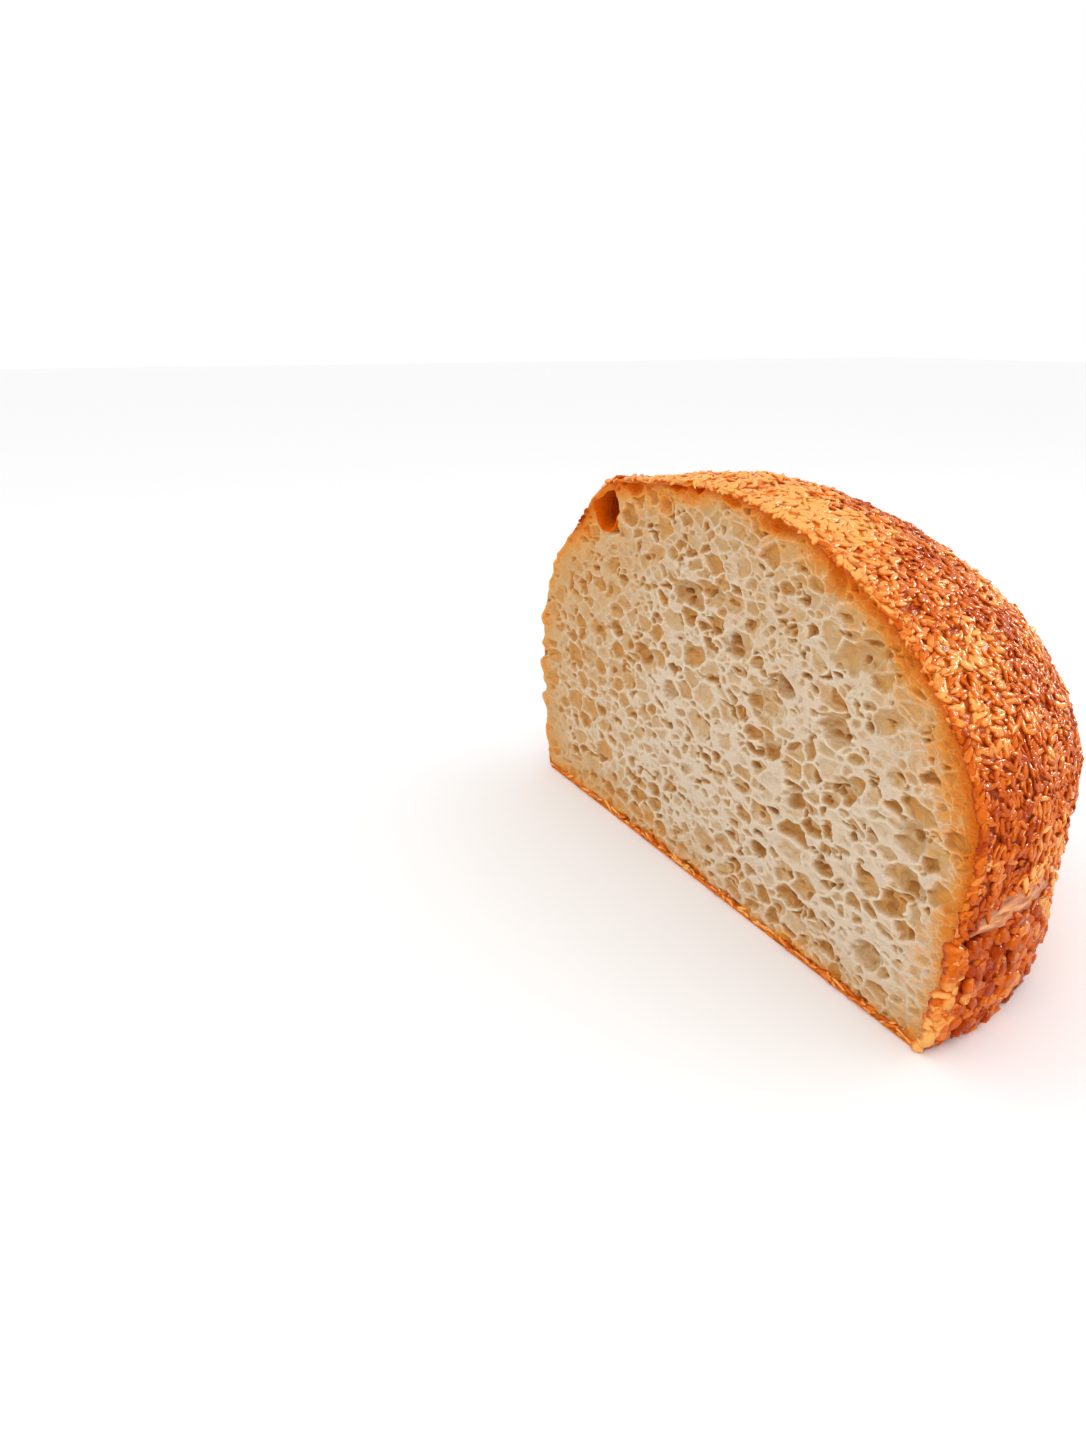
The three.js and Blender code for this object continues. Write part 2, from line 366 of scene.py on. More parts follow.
class LoafForm(bpy.types.PropertyGroup):
    """The sizes of the half loaf"""

    cut_length: FloatProperty(
        name="Cut Length", description="End to end along the cut, at the widest girth",
        default=0.222, unit="LENGTH")
    depth: FloatProperty(
        name="Depth", description="From the cut face to the back of the dome",
        default=0.102, unit="LENGTH")
    height: FloatProperty(
        name="Height", description="From the floor to the top of the cut",
        default=0.132, unit="LENGTH")
    fold_height: FloatProperty(
        name="Fold Height", description="Height of the fold that rings the side",
        default=0.037, unit="LENGTH")
    crust_thickness: FloatProperty(
        name="Crust Thickness", description="Thickness of the crust that shows round the cut",
        default=0.001, unit="LENGTH")


class CrumbLook(bpy.types.PropertyGroup):
    """The crumb's texture and colours"""

    stretch: FloatProperty(
        name="Cell Stretch", description="How much longer than tall the cells are", default=1.5)
    rim: FloatProperty(
        name="Cell Rim", description="Width over which a cell sinks from the wall round it",
        default=0.0011, unit="LENGTH")
    # The web colour is a painted highlight on the walls that stand out.
    lit_web_colour: FloatVectorProperty(
        name="Web", description="Colour of the walls that the cut leaves standing",
        subtype="COLOR", default=linear(213, 194, 170))
    cream_colour: FloatVectorProperty(
        name="Cream", description="Colour of most of the crumb",
        subtype="COLOR", default=linear(202, 170, 130))
    # The hollow and deep colours are painted shade in the cells, together with the crumb's own tan shifts.
    hollow_colour: FloatVectorProperty(
        name="Hollow", description="Colour in the cells",
        subtype="COLOR", default=linear(200, 163, 114))
    deep_shade_tan_colour: FloatVectorProperty(
        name="Deep", description="Colour at the bottom of the deepest cells",
        subtype="COLOR", default=linear(200, 146, 80))
    honey_colour: FloatVectorProperty(
        name="Honey", description="Colour where the crumb begins to turn amber",
        subtype="COLOR", default=linear(221, 150, 56))
    amber_colour: FloatVectorProperty(
        name="Amber", description="Colour of the crumb close under the crust",
        subtype="COLOR", default=linear(210, 106, 6))
    toast_colour: FloatVectorProperty(
        name="Toast", description="Colour where the crumb turns into crust",
        subtype="COLOR", default=linear(200, 84, 3))
    scorch_colour: FloatVectorProperty(
        name="Scorch", description="Colour inside the pocket at the far top",
        subtype="COLOR", default=linear(128, 32, 0))


class CrustLook(bpy.types.PropertyGroup):
    """The crust's colours"""

    golden_colour: FloatVectorProperty(
        name="Golden", description="Colour of the palest crust",
        subtype="COLOR", default=linear(234, 128, 26))
    # The crust shows between the seeds; its brown and dark colours there are partly painted shade in the
    # gaps.
    brown_colour: FloatVectorProperty(
        name="Brown", description="Colour of the crust between its seeds",
        subtype="COLOR", default=linear(172, 66, 8))
    dark_colour: FloatVectorProperty(
        name="Dark", description="Colour of the darkest crust",
        subtype="COLOR", default=linear(132, 42, 4))
    stretched_colour: FloatVectorProperty(
        name="Stretched", description="Colour of the bare skin along the fold",
        subtype="COLOR", default=linear(252, 184, 128))


class SeedLook(bpy.types.PropertyGroup):
    """The seeds' sizes and colours"""

    length: FloatProperty(
        name="Length", description="Length of a seed", default=0.0052, unit="LENGTH")
    width: FloatProperty(
        name="Width", description="Width of a seed", default=0.002, unit="LENGTH")
    thickness: FloatProperty(
        name="Thickness", description="Thickness of a seed", default=0.0014, unit="LENGTH")
    count: IntProperty(
        name="Count", description="Seeds on the whole crust", default=13000)
    rim_count: IntProperty(
        name="Rim Count", description="Seeds along the rim of the cut", default=300)
    base_count: IntProperty(
        name="Base Count", description="Strands along the floor line of the cut", default=240)
    pale_colour: FloatVectorProperty(
        name="Pale", description="Colour of the palest seeds",
        subtype="COLOR", default=linear(249, 180, 97))
    amber_colour: FloatVectorProperty(
        name="Amber", description="Colour of most seeds",
        subtype="COLOR", default=linear(226, 108, 26))
    toasted_colour: FloatVectorProperty(
        name="Toasted", description="Colour of the darkest seeds",
        subtype="COLOR", default=linear(172, 58, 8))


class StageLook(bpy.types.PropertyGroup):
    """The floor and the light"""

    floor_colour: FloatVectorProperty(
        name="Floor", description="Colour of the floor", subtype="COLOR", default=linear(250, 250, 250))
    sky_strength: FloatProperty(
        name="Sky", description="Strength of the even light all round", default=1.0)
    key_power: FloatProperty(
        name="Key", description="Power of the large soft light", default=1.7, unit="POWER")
    fill_power: FloatProperty(
        name="Fill", description="Power of the light on the crust", default=1.2, unit="POWER")
    glint_power: FloatProperty(
        name="Glint", description="Power of each small light that only makes glints",
        default=15.0, unit="POWER")


class HalfLoafSettings(bpy.types.PropertyGroup):
    """All settings of the half loaf"""

    form: PointerProperty(type=LoafForm, name="Form", description="Sizes of the loaf")
    crumb: PointerProperty(type=CrumbLook, name="Crumb", description="Texture and colours of the crumb")
    crust: PointerProperty(type=CrustLook, name="Crust", description="Colours of the crust")
    seeds: PointerProperty(type=SeedLook, name="Seeds", description="Sizes and colours of the seeds")
    stage: PointerProperty(type=StageLook, name="Stage", description="Floor and light")


def lattice_draw(corner, pattern):
    """Repeatable draw in -1 to 1 for each whole-number lattice corner: its three numbers
    are mixed by large odd factors and by folding the high bits onto the low ones."""
    whole = corner.astype(np.uint64)
    mixed = np.full(whole.shape[:-1], pattern * PATTERN_FACTOR, np.uint64)
    for axis, factor in enumerate(AXIS_FACTORS):
        mixed ^= whole[..., axis] * np.uint64(factor)
    mixed &= LOW_BITS
    for shift, factor in FOLDS:
        mixed = (mixed ^ (mixed >> np.uint64(shift))) * np.uint64(factor) & LOW_BITS
    return (mixed >> np.uint64(8)).astype(float) / 2 ** 23 - 1


def cloud(points, size, pattern):
    """Smooth noise in -1 to 1: draws at the corners of a lattice of the given size, blended
    across each cube by the eased share 3t^2 - 2t^3 along x, y and z."""
    scaled = np.asarray(points) / size + LATTICE_SHIFT
    corner = np.floor(scaled)
    share = scaled - corner
    ease = share * share * (3 - 2 * share)
    corner = corner.astype(np.int64)
    total = np.zeros(scaled.shape[:-1])
    for step in np.ndindex(2, 2, 2):
        weight = np.prod(np.where(np.array(step) == 1, ease, 1 - ease), axis=-1)
        total += weight * lattice_draw(corner + np.array(step), pattern)
    return total


def clouds(points, parts, level=0.0):
    """Clouds of several sizes on top of a level: parts are (strength, size in mm, pattern)."""
    for strength, size, pattern in parts:
        level = level + strength * cloud(points, size * MM, pattern)
    return level


def bell(distance, spread):
    """A bell of height 1: e to the power of minus (distance / spread) squared."""
    return np.exp(-(distance / spread) ** 2)


def grown(values, start, span):
    """0 up to the start, then growing evenly to 1 over the span."""
    return np.clip((values - start) / span, 0, 1)


def faded(values, span):
    """1 at 0, then falling evenly to 0 over the span."""
    return np.clip(1 - values / span, 0, 1)


def girth_radius(turn, form):
    """Radius of the widest girth in each direction: a superellipse,
    (|cos| / half length)^p + (sin / depth)^p = radius^-p."""
    along = (np.abs(np.cos(turn)) / (form.cut_length / 2)) ** PLAN_POWER
    back = (np.maximum(np.sin(turn), 0) / form.depth) ** PLAN_POWER
    return (along + back) ** (-1 / PLAN_POWER)


def side_inset(turn, height, form):
    """How far the side draws in below the girth: the taper to the foot, plus the step under
    the fold's lip that fades down the skirt, plus the round of the bottom edge."""
    girth_height = form.height * GIRTH_SHARE
    to_near = ((1 + np.cos(turn)) / 2) ** END_REACH
    to_far = ((1 - np.cos(turn)) / 2) ** END_REACH
    inset = BACK_FOOT_INSET + (NEAR_FOOT_INSET - BACK_FOOT_INSET) * to_near
    inset = inset + (FAR_FOOT_INSET - BACK_FOOT_INSET) * to_far
    drop = faded(height, girth_height) ** FOOT_POWER
    fold = FOLD_DEPTH * (FOLD_AT_CUT + (1 - FOLD_AT_CUT) * np.sin(turn))
    under = form.fold_height - height
    step = 1 / (1 + np.exp(np.clip(-2 * under / FOLD_SHARPNESS, -60, 60)))
    flare = np.exp(-np.maximum(under, 0) / SKIRT_FLARE)
    round_share = np.clip(FOOT_ROUND - height, 0, FOOT_ROUND)
    corner = FOOT_ROUND - np.sqrt(FOOT_ROUND ** 2 - round_share ** 2)
    return inset * drop + fold * step * flare + corner / 2


def crust_point(turn, down, form):
    """Points of the crust. turn runs from the near end (0) round the back to the far end
    (pi). down runs from the top (0) along a superellipse to the girth at DOME_SHARE, then
    straight down the side to the floor (1). Swelling, blister and crown are added."""
    girth = girth_radius(turn, form)
    girth_height = form.height * GIRTH_SHARE
    power = NEAR_SHOULDER + (FAR_SHOULDER - NEAR_SHOULDER) * (1 - np.cos(turn)) / 2
    lean = np.clip(down / DOME_SHARE, 0, 1) * (math.pi / 2)
    rise = np.clip(np.cos(lean), 0, 1) ** (2 / power)
    below = grown(down, DOME_SHARE, 1 - DOME_SHARE)
    height = np.where(
        down <= DOME_SHARE, girth_height + (form.height - girth_height) * rise, girth_height * (1 - below))
    radius = np.where(
        down <= DOME_SHARE, girth * np.sin(lean) ** (2 / power), girth - side_inset(turn, height, form))
    from_top = radius / girth
    swell = sum(
        strength * np.sin(waves * turn + height / (wind * MM) + start)
        for strength, waves, wind, start in SWELL_WAVES)
    blister = BLISTER_RISE * bell(height - BLISTER_HEIGHT, BLISTER_SPREAD)
    blister = blister * bell(math.pi - turn, BLISTER_TURN) * from_top
    out = radius / CROWN_BEHIND
    crown = CROWN_RISE * np.sin(turn) * out * np.exp(1 - out)
    outward = radius + SWELL * swell * from_top + blister / 4
    top = np.where(down <= DOME_SHARE, crown + blister, 0)
    return np.stack(
        [outward * np.cos(turn), CUT_PLANE + outward * np.sin(turn), height + top], axis=-1)


def cut_outline(count, form):
    """The outline of the cut from the far foot over the top to the near foot."""
    down = np.linspace(0, 1, count)
    near = crust_point(np.zeros(count), down, form)
    far = crust_point(np.full(count, math.pi), down, form)
    return np.concatenate([far[::-1], near[1:]])


def unit(vectors):
    """The vectors brought to length 1."""
    return vectors / np.maximum(np.linalg.norm(vectors, axis=-1, keepdims=True), 1e-12)


def new_object(name, vertices, faces):
    """A mesh object at the origin from points and faces, smooth shaded."""
    mesh = bpy.data.meshes.new(name)
    mesh.from_pydata(vertices.tolist(), [], faces)
    mesh.validate()
    mesh.polygons.foreach_set("use_smooth", np.ones(len(mesh.polygons), bool))
    mesh.update()
    piece = bpy.data.objects.new(name, mesh)
    bpy.context.scene.collection.objects.link(piece)
    return piece


def grid_quads(rows, columns):
    """Corner numbers of the quads of a grid whose points run along its rows."""
    corner = np.arange(rows - 1)[:, None] * columns + np.arange(columns - 1)[None, :]
    quads = np.stack([corner, corner + 1, corner + columns + 1, corner + columns], axis=-1)
    return quads.reshape(-1, 4)


def lining_faces(edge, first, flipped=False):
    """Faces behind an edge of point numbers: two more rings of as many points, numbered from the
    first on, joined by quads, and a cap on the last ring."""
    ring = first + np.arange(len(edge))
    faces = []
    for outer, inner in ((edge, ring), (ring, ring + len(edge))):
        quads = np.stack([outer, np.roll(outer, -1), np.roll(inner, -1), inner], axis=-1)
        faces += (quads[:, [1, 0, 3, 2]] if flipped else quads).tolist()
    faces.append((ring[::-1] + len(edge)).tolist())
    return faces


def store(piece, name, values):
    """Keeps one number for each point of the piece under the given name."""
    attribute = piece.data.attributes.new(name, "FLOAT", "POINT")
    attribute.data.foreach_set("value", np.ascontiguousarray(values, dtype=np.float32))


def points_of(piece):
    """The piece's points as an array."""
    flat = np.empty(len(piece.data.vertices) * 3)
    piece.data.vertices.foreach_get("co", flat)
    return flat.reshape(-1, 3)


def dress(piece, material):
    """Gives a piece its finish, fixes it to the loaf and lets it stand for the solid."""
    piece.data.materials.append(material)
    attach(piece, BODY)
    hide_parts(NODE)


class Finish:
    """A new material and the wiring of its nodes."""

    def __init__(self, name):
        self.material = bpy.data.materials.new(name)
        self.material.use_nodes = True
        self.tree = self.material.node_tree
        self.shader = self.tree.nodes["Principled BSDF"]

    def node(self, kind, links=None, **settings):
        """A node with its settings; links name its sockets and what feeds them."""
        node = self.tree.nodes.new(kind)
        for key, value in settings.items():
            setattr(node, key, value)
        for socket, source in (links or {}).items():
            self.feed(node.inputs[socket], source)
        return node

    def feed(self, socket, source):
        """Joins an output to a socket, or sets the socket's own value."""
        if isinstance(source, bpy.types.NodeSocket):
            self.tree.links.new(source, socket)
        else:
            socket.default_value = source

    def attribute(self, name):
        """The number stored for each point under a name."""
        return self.node("ShaderNodeAttribute", attribute_name=name).outputs["Fac"]

    def object_place(self):
        """The place on the piece, in metres."""
        return self.node("ShaderNodeTexCoord").outputs["Object"]

    def squeezed_place(self, *factors):
        """The place on the piece, each of its three ways times a factor."""
        links = {0: self.object_place(), 1: factors}
        return self.node("ShaderNodeVectorMath", links, operation="MULTIPLY").outputs["Vector"]

    def noise(self, scale, detail=3.0, roughness=0.55, place=None, output="Fac"):
        """Cloudy noise over the piece, with that many waves to the metre."""
        place = place or self.object_place()
        links = {"Vector": place, "Scale": scale, "Detail": detail, "Roughness": roughness}
        return self.node("ShaderNodeTexNoise", links).outputs[output]

    def streaks(self, scale, flatness):
        """Noise drawn out along the level, with that many waves to the metre upwards."""
        return self.noise(scale, 3.0, 0.5, self.squeezed_place(1 / flatness, 1 / flatness, 1))

    def foam(self, scale, stretch):
        """Distance to the walls of small cells, as a share of their size, that many to the
        metre; the cells are stretched along the cut and pushed about by noise."""
        place = self.squeezed_place(1 / stretch, 1, 1)
        push = self.noise(scale * 0.7, 2.0, 0.5, place, "Color")
        links = {0: push, 1: (1.1 / scale,) * 3, 2: place}
        pushed = self.node("ShaderNodeVectorMath", links, operation="MULTIPLY_ADD").outputs["Vector"]
        links = {"Vector": pushed, "Scale": scale}
        return self.node("ShaderNodeTexVoronoi", links, feature="DISTANCE_TO_EDGE").outputs["Distance"]

    def ramp(self, source, stops):
        """Colours along a number: stops are (position, colour)."""
        node = self.node("ShaderNodeValToRGB", {"Fac": source})
        while len(node.color_ramp.elements) < len(stops):
            node.color_ramp.elements.new(0.5)
        for element, (position, colour) in zip(node.color_ramp.elements, stops):
            element.position = position
            element.color = (*colour, 1)
        return node.outputs["Color"]

    def blend(self, share, under, colour):
        """A colour laid over what is under it, by a share."""
        links = {0: share, 6: under, 7: (*colour, 1)}
        return self.node("ShaderNodeMix", links, data_type="RGBA").outputs[2]

    def scale(self, source, low, high, low_out=0.0, high_out=1.0):
        """A number carried from one range to another and kept inside it."""
        links = {"Value": source, "From Min": low, "From Max": high, "To Min": low_out, "To Max": high_out}
        return self.node("ShaderNodeMapRange", links).outputs["Result"]

    def math(self, operation, first, second):
        """Two numbers joined by one sum."""
        return self.node("ShaderNodeMath", {0: first, 1: second}, operation=operation).outputs["Value"]

    def less(self, first, second, share):
        """A number less a share of another."""
        return self.math("SUBTRACT", first, self.math("MULTIPLY", second, share))

    def vary(self, source, spread):
        """Noise carried from its usual range to as much below as above 0."""
        return self.scale(source, 0.3, 0.7, -spread, spread)

    def bump(self, height, distance, strength):
        """Small relief of the surface from a number."""
        links = {"Height": height, "Distance": distance, "Strength": strength}
        self.feed(self.shader.inputs["Normal"], self.node("ShaderNodeBump", links).outputs["Normal"])

    def set(self, **values):
        """Sets the shader's own sockets; underscores stand for spaces."""
        sockets = {socket.name.lower().replace(" ", "_"): socket for socket in self.shader.inputs}
        for key, value in values.items():
            self.feed(sockets[key], value)


def cut_arch(form):
    """The line of the crust over the cut, as (x, z), from the far foot to the near one."""
    return cut_outline(EDGE_POINTS, form)[:, [0, 2]]


def crumb_border(form):
    """Points all round the cut: the arch, and back along the floor."""
    arch = cut_arch(form)
    return np.concatenate([arch, np.linspace(arch[-1], arch[0], EDGE_POINTS)])


def distance_to_line(x, z, line):
    """Shortest distance from each place on the cut to the line's points."""
    nearest = np.full(x.shape, np.inf)
    for spot_x, spot_z in line:
        nearest = np.minimum(nearest, np.hypot(x - spot_x, z - spot_z))
    return nearest


def throw_cells(form, look, draw):
    """The cells in and behind the cut: large ones first, then smaller and smaller ones thrown
    at random into a slab and kept where they overlap no other by more than a little; they
    shrink towards the crust and in patches. To find the others quickly, cells stand on
    shelves along the cut.
    Each row is (x, depth, z, half length, half depth, half height, tilt)."""
    border = crumb_border(form)
    low, high = border.min(axis=0), border.max(axis=0)
    shelves = int((high[0] - low[0]) / look.stretch / SHELF) + 3
    placed = np.full((shelves, SHELF_ROOM, 4), np.inf)
    placed[..., 3] = 0
    filled = np.zeros(shelves, int)
    cells = []
    for smallest, largest, throws in CELL_CLASSES:
        spot = draw.uniform((low[0], CELL_FRONT, low[1]), (high[0], CELL_BACK, high[1]), (throws, 3))
        half = (smallest + (largest - smallest) * draw.random(throws) ** SMALL_BIAS) * MM
        from_crust = distance_to_line(spot[:, 0], spot[:, 2], border)
        half = np.minimum(half, EDGE_CELL + EDGE_GROWTH * from_crust)
        patch = PATCH_HALF + PATCH_HALF * cloud(spot, CELL_PATCH, PATCH_PATTERN)
        half = np.minimum(half, np.maximum(patch, LEAST_PATCH_HALF) * MM)
        squeezed = spot / (look.stretch, 1, 1)
        shelf = ((spot[:, 0] - low[0]) / look.stretch / SHELF).astype(int) + 1
        uneven = draw.normal(1, CELL_UNEVEN, (throws, 3))
        axes = half[:, None] * uneven * (look.stretch, CELL_FLATNESS, 1)
        tilt = draw.normal(0, CELL_TILT, throws)
        for number in np.flatnonzero(half > LEAST_CELL):
            own = shelf[number]
            near = placed[own - 1:own + 2, :filled[own - 1:own + 2].max()]
            gap = near[..., :3] - squeezed[number]
            reach = (near[..., 3] + half[number]) * CELL_OVERLAP
            if np.any(np.einsum("ijk,ijk->ij", gap, gap) < reach * reach):
                continue
            placed[own, filled[own]] = (*squeezed[number], half[number])
            filled[own] += 1
            cells.append((*spot[number], *axes[number], tilt[number]))
    return cells


def press_cells(x, z, start, cells, look):
    """How far each place lies inside its own cell and inside the next one, at every level
    behind the start: mean half size times (1 + swell - stretched distance to the middle).
    Also the number of the cell that each place lies in."""
    level = np.arange(LEVELS) * LEVEL_STEP
    inside = np.full((LEVELS, *x.shape), -1.0, np.float32)
    beside = inside.copy()
    owner = np.zeros(inside.shape, np.int32)
    height = z.mean(axis=1)
    reach = 1 + CELL_SWELL + CELL_MARGIN
    for number, (cell_x, cell_y, cell_z, long, deep, tall, tilt) in enumerate(cells):
        rows = np.flatnonzero(np.abs(height - cell_z) < tall * reach + ROW_MARGIN)
        if rows.size == 0:
            continue
        band = slice(rows[0], rows[-1] + 1)
        columns = np.flatnonzero((np.abs(x[band] - cell_x) < long * reach).any(axis=0))
        if columns.size == 0:
            continue
        face = (band, slice(columns[0], columns[-1] + 1))
        front = cell_y - deep * reach - start[face].max()
        back = cell_y + deep * reach - start[face].min()
        levels = np.flatnonzero((level > front) & (level < back))
        if levels.size == 0:
            continue
        window = (slice(levels[0], levels[-1] + 1), *face)
        along, up = x[face] - cell_x, z[face] - cell_z
        flat = ((along * math.cos(tilt) + up * math.sin(tilt)) / long) ** 2
        flat += ((up * math.cos(tilt) - along * math.sin(tilt)) / tall) ** 2
        behind = (start[face][None] + level[levels][:, None, None] - cell_y) / deep
        away = np.sqrt((flat[None] + behind * behind).astype(np.float32))
        half = np.float32(mean_half_size(long, deep, tall, look))
        here = half * (np.float32(1 + CELL_SWELL) - away)
        first = inside[window]
        owner[window] = np.where(here > first, number, owner[window])
        beside[window] = np.maximum(beside[window], np.minimum(first, here))
        inside[window] = np.maximum(first, here)
    return inside, beside, owner


def mean_half_size(long, deep, tall, look):
    """Geometric mean of a cell's three half sizes, with its stretch taken out."""
    return (long / look.stretch * deep * tall) ** (1 / 3)


def soften(field, passes):
    """Each value blended 1-2-1 with its neighbours along both ways, so many times over."""
    for _ in range(passes):
        for _ in range(2):
            padded = np.pad(field, ((1, 1), (0, 0)), mode="edge")
            field = ((padded[:-2] + 2 * padded[1:-1] + padded[2:]) / 4).T
    return field


def first_wall(lead, owner, torn):
    """Depth at which a straight look into the cut meets a wall that isn't torn: between the
    last level in one cell and the first in the next, at the share where the lead runs out."""
    crossed = (owner[1:] != owner[:-1]) & ~torn
    hit = np.where(crossed.any(axis=0), np.argmax(crossed, axis=0), LEVELS - 2)
    before = np.take_along_axis(lead, hit[None], 0)[0]
    after = np.take_along_axis(lead, hit[None] + 1, 0)[0]
    return (hit + np.clip(before / np.maximum(before + after, 1e-9), 0, 1)) * LEVEL_STEP


def bowls(x, z, hollows):
    """Depth of the deepest of some hollows at each place: its depth times 1 minus the square
    of the way out to its edge."""
    depth = np.zeros_like(x)
    for middle_x, middle_z, long, tall, deep in hollows:
        away = ((x - middle_x * MM) / (long / 2 * MM)) ** 2
        away = away + ((z - middle_z * MM) / (tall / 2 * MM)) ** 2
        depth = np.maximum(depth, deep * MM * (1 - away))
    return depth


def cut_grid(form, rows, columns):
    """Places on the cut as a grid: rows of equal height from crust to crust. They stop just
    inside the crust, but at the far end they reach a little past it in ragged flaps."""
    arch = cut_arch(form)
    peak = int(np.argmax(arch[:, 1]))
    far, near = arch[:peak + 1], arch[peak:][::-1]
    edge = form.crust_thickness * CRUMB_EDGE
    level = edge + (arch[peak, 1] - 2 * edge) * (1 - (1 - np.linspace(0, 1, rows)) ** ROW_CROWDING)
    line = np.stack([np.zeros(rows), np.zeros(rows), level], axis=-1)
    ragged = clouds(line, FLAP_CLOUDS, FLAP_REACH)
    flap = np.maximum(ragged, LEAST_FLAP) * MM * far_end_share(level)
    far_x = np.interp(level, far[:, 1], far[:, 0]) + edge - flap
    near_x = np.interp(level, near[:, 1], near[:, 0]) - edge
    across = np.linspace(0, 1, columns)
    x = far_x[:, None] + (near_x - far_x)[:, None] * across[None, :]
    return x, np.repeat(level[:, None], columns, axis=1)


def far_end_share(height):
    """1 up the far end where the crumb shows right to the edge, 0 at the foot and the top."""
    low, high = FAR_END
    return grown(height, low, FAR_END_FADE) * grown(-height, -high, FAR_END_FADE)


def wall_tear(x, z, behind, look):
    """How torn the cell walls are: a cloudy noise over its limit, so above 1 they are open."""
    return cloud(np.stack([x / look.stretch, behind, z], axis=-1), TEAR_SIZE, TEAR_PATTERN) / TEAR_LIMIT


def row_step(places):
    """Mean step between the places along each row."""
    return np.abs(np.diff(places, axis=1)).mean(axis=1, keepdims=True)


def cell_depth(x, z, start, cells, look, draw):
    """How far each place is sunk behind the start: to the back wall of the cell that it lies
    in, less towards its rim. The way to the rim is half the lead of the cell over the next,
    divided by how fast it grows along the cut, but no more than to the cell's own round."""
    inside, beside, owner = press_cells(x, z, start, cells, look)
    lead = (inside - beside) / 2
    torn = np.empty((LEVELS - 1, *x.shape), bool)
    for level in range(LEVELS - 1):
        torn[level] = wall_tear(x, z, start + (level + 0.5) * LEVEL_STEP, look) > 1
    own = owner[0]
    slope_along = np.gradient(lead[0], axis=1) / row_step(x)
    slope_up = np.gradient(lead[0], axis=0) / row_step(z.T).T
    slope = soften(np.hypot(slope_along, slope_up), 2)
    to_rim = lead[0] / np.clip(slope, LEAST_SLOPE, 1)
    half_sizes = np.array(cells)[:, 3:6].T
    size = mean_half_size(*half_sizes, look)
    corner = size * (CELL_SWELL - draw.uniform(*CELL_ROUND, len(cells)))
    to_rim = np.minimum(to_rim, np.maximum(inside[0] - corner[own], 0))
    flare = np.clip(to_rim / look.rim, 0, 1)
    share = draw.uniform(*CELL_SHARE, len(cells))
    return first_wall(lead, owner, torn) * flare * (2 - flare) * share[own]


def pocket_depth(x, z):
    """Depth of the scorched pocket: a bowl that is shallow on its far side, its depth growing
    evenly towards its near side."""
    middle, _, long, _, _ = POCKET
    across = np.clip((x / MM - middle) / (long / 2), -1, 1)
    level, slant = POCKET_SLANT
    return bowls(x, z, (POCKET,)) * (level + slant * across)


def far_edge(x, z, most, width):
    """Falls evenly from the most, at the far edge of each row, to 0 over the width."""
    return most * far_end_share(z) * faded(x - x[:, :1], width)


def tan_share(x, z, far, from_arch):
    """How much more tan than cream the crumb is: more towards the far end and, evenly, towards
    the top; a bell by the floor; falling off from the arch as e to the power of minus distance;
    and falling evenly from the far edge."""
    tan = TAN_FAR * far + TAN_TOP * grown(z, *TAN_TOP_RANGE) + TAN_EVEN
    middle, spread = TAN_FLOOR_BELL
    tan += TAN_FLOOR * bell(z - middle, spread) + TAN_ARCH * np.exp(-from_arch / TAN_ARCH_REACH)
    return tan + far_edge(x, z, TAN_EDGE, TAN_EDGE_WIDTH)


def crumb_surface(form, look, rows, columns):
    """The cut face as a grid. The knife leaves a wavy start with the large hollows in it, and
    each point is sunk from there to the first cell wall, less so near the arch. Returns points,
    how deep each lies in its cell as a share, more where the crumb is tan, and the height above
    the places round about."""
    x, z = cut_grid(form, rows, columns)
    squeezed = np.stack([x / look.stretch, np.zeros_like(x), z], axis=-1)
    push_x, push_z = clouds(squeezed, PUSH_ALONG), clouds(squeezed, PUSH_UP)
    pushed_x, pushed_z = x + push_x * look.stretch * MM, z + push_z * MM
    from_crust = distance_to_line(x, z, crumb_border(form))
    settle = grown(from_crust, 0, SETTLE_WIDTH)
    crest = sum(
        height * (1 + cloud(squeezed, size * MM, pattern)) for height, size, pattern in KNIFE_WAVES)
    start = crest * settle * MM + HOLLOW_SHARE * bowls(pushed_x, pushed_z, HOLES)
    draw = np.random.default_rng(CELL_DRAWS)
    cells = throw_cells(form, look, draw)
    sunk = cell_depth(pushed_x, pushed_z, start, cells, look, draw)
    from_arch = distance_to_line(x, z, cut_arch(form))
    sunk *= 1 - CELL_CALM * np.exp(-from_arch / CALM_REACH)
    depth = start + CELL_RELIEF * sunk
    bent_x, bent_z = x + push_x * MM, z + push_z * MM
    smooth = np.maximum(pocket_depth(bent_x, bent_z), bowls(bent_x, bent_z, BUBBLES))
    depth = np.where(smooth > 0, np.clip(depth, smooth, smooth + SMOOTH_SLACK), depth)
    depth = soften(depth, 1)
    far = np.clip(-x / (form.cut_length / 2) - FAR_START, 0, FAR_SPAN) * FAR_GROWTH
    depth += (soften(depth, 2) - depth) * far
    depth *= 1 - FAR_FLATTER * far
    inner = grown(from_crust, 0, EDGE_WIDTH)
    uneven = clouds(squeezed, EDGE_CLOUDS, EDGE_SUNK) * MM
    depth = depth * inner + uneven * (1 - inner)
    shade = (soften(sunk, 1) + START_SHADE * start) * settle / SHADE_SPAN
    shade += tan_share(x, z, far, from_arch)
    stand = np.clip((soften(depth, STAND_PASSES) - depth) / MM, -1, 1) * settle
    past_cut = far_edge(x, z, FAR_BULGE, FAR_BULGE_WIDTH)
    points = np.stack([x, CUT_PLANE + depth - past_cut, z], axis=-1)
    return points.reshape(-1, 3), shade.ravel(), stand.ravel()


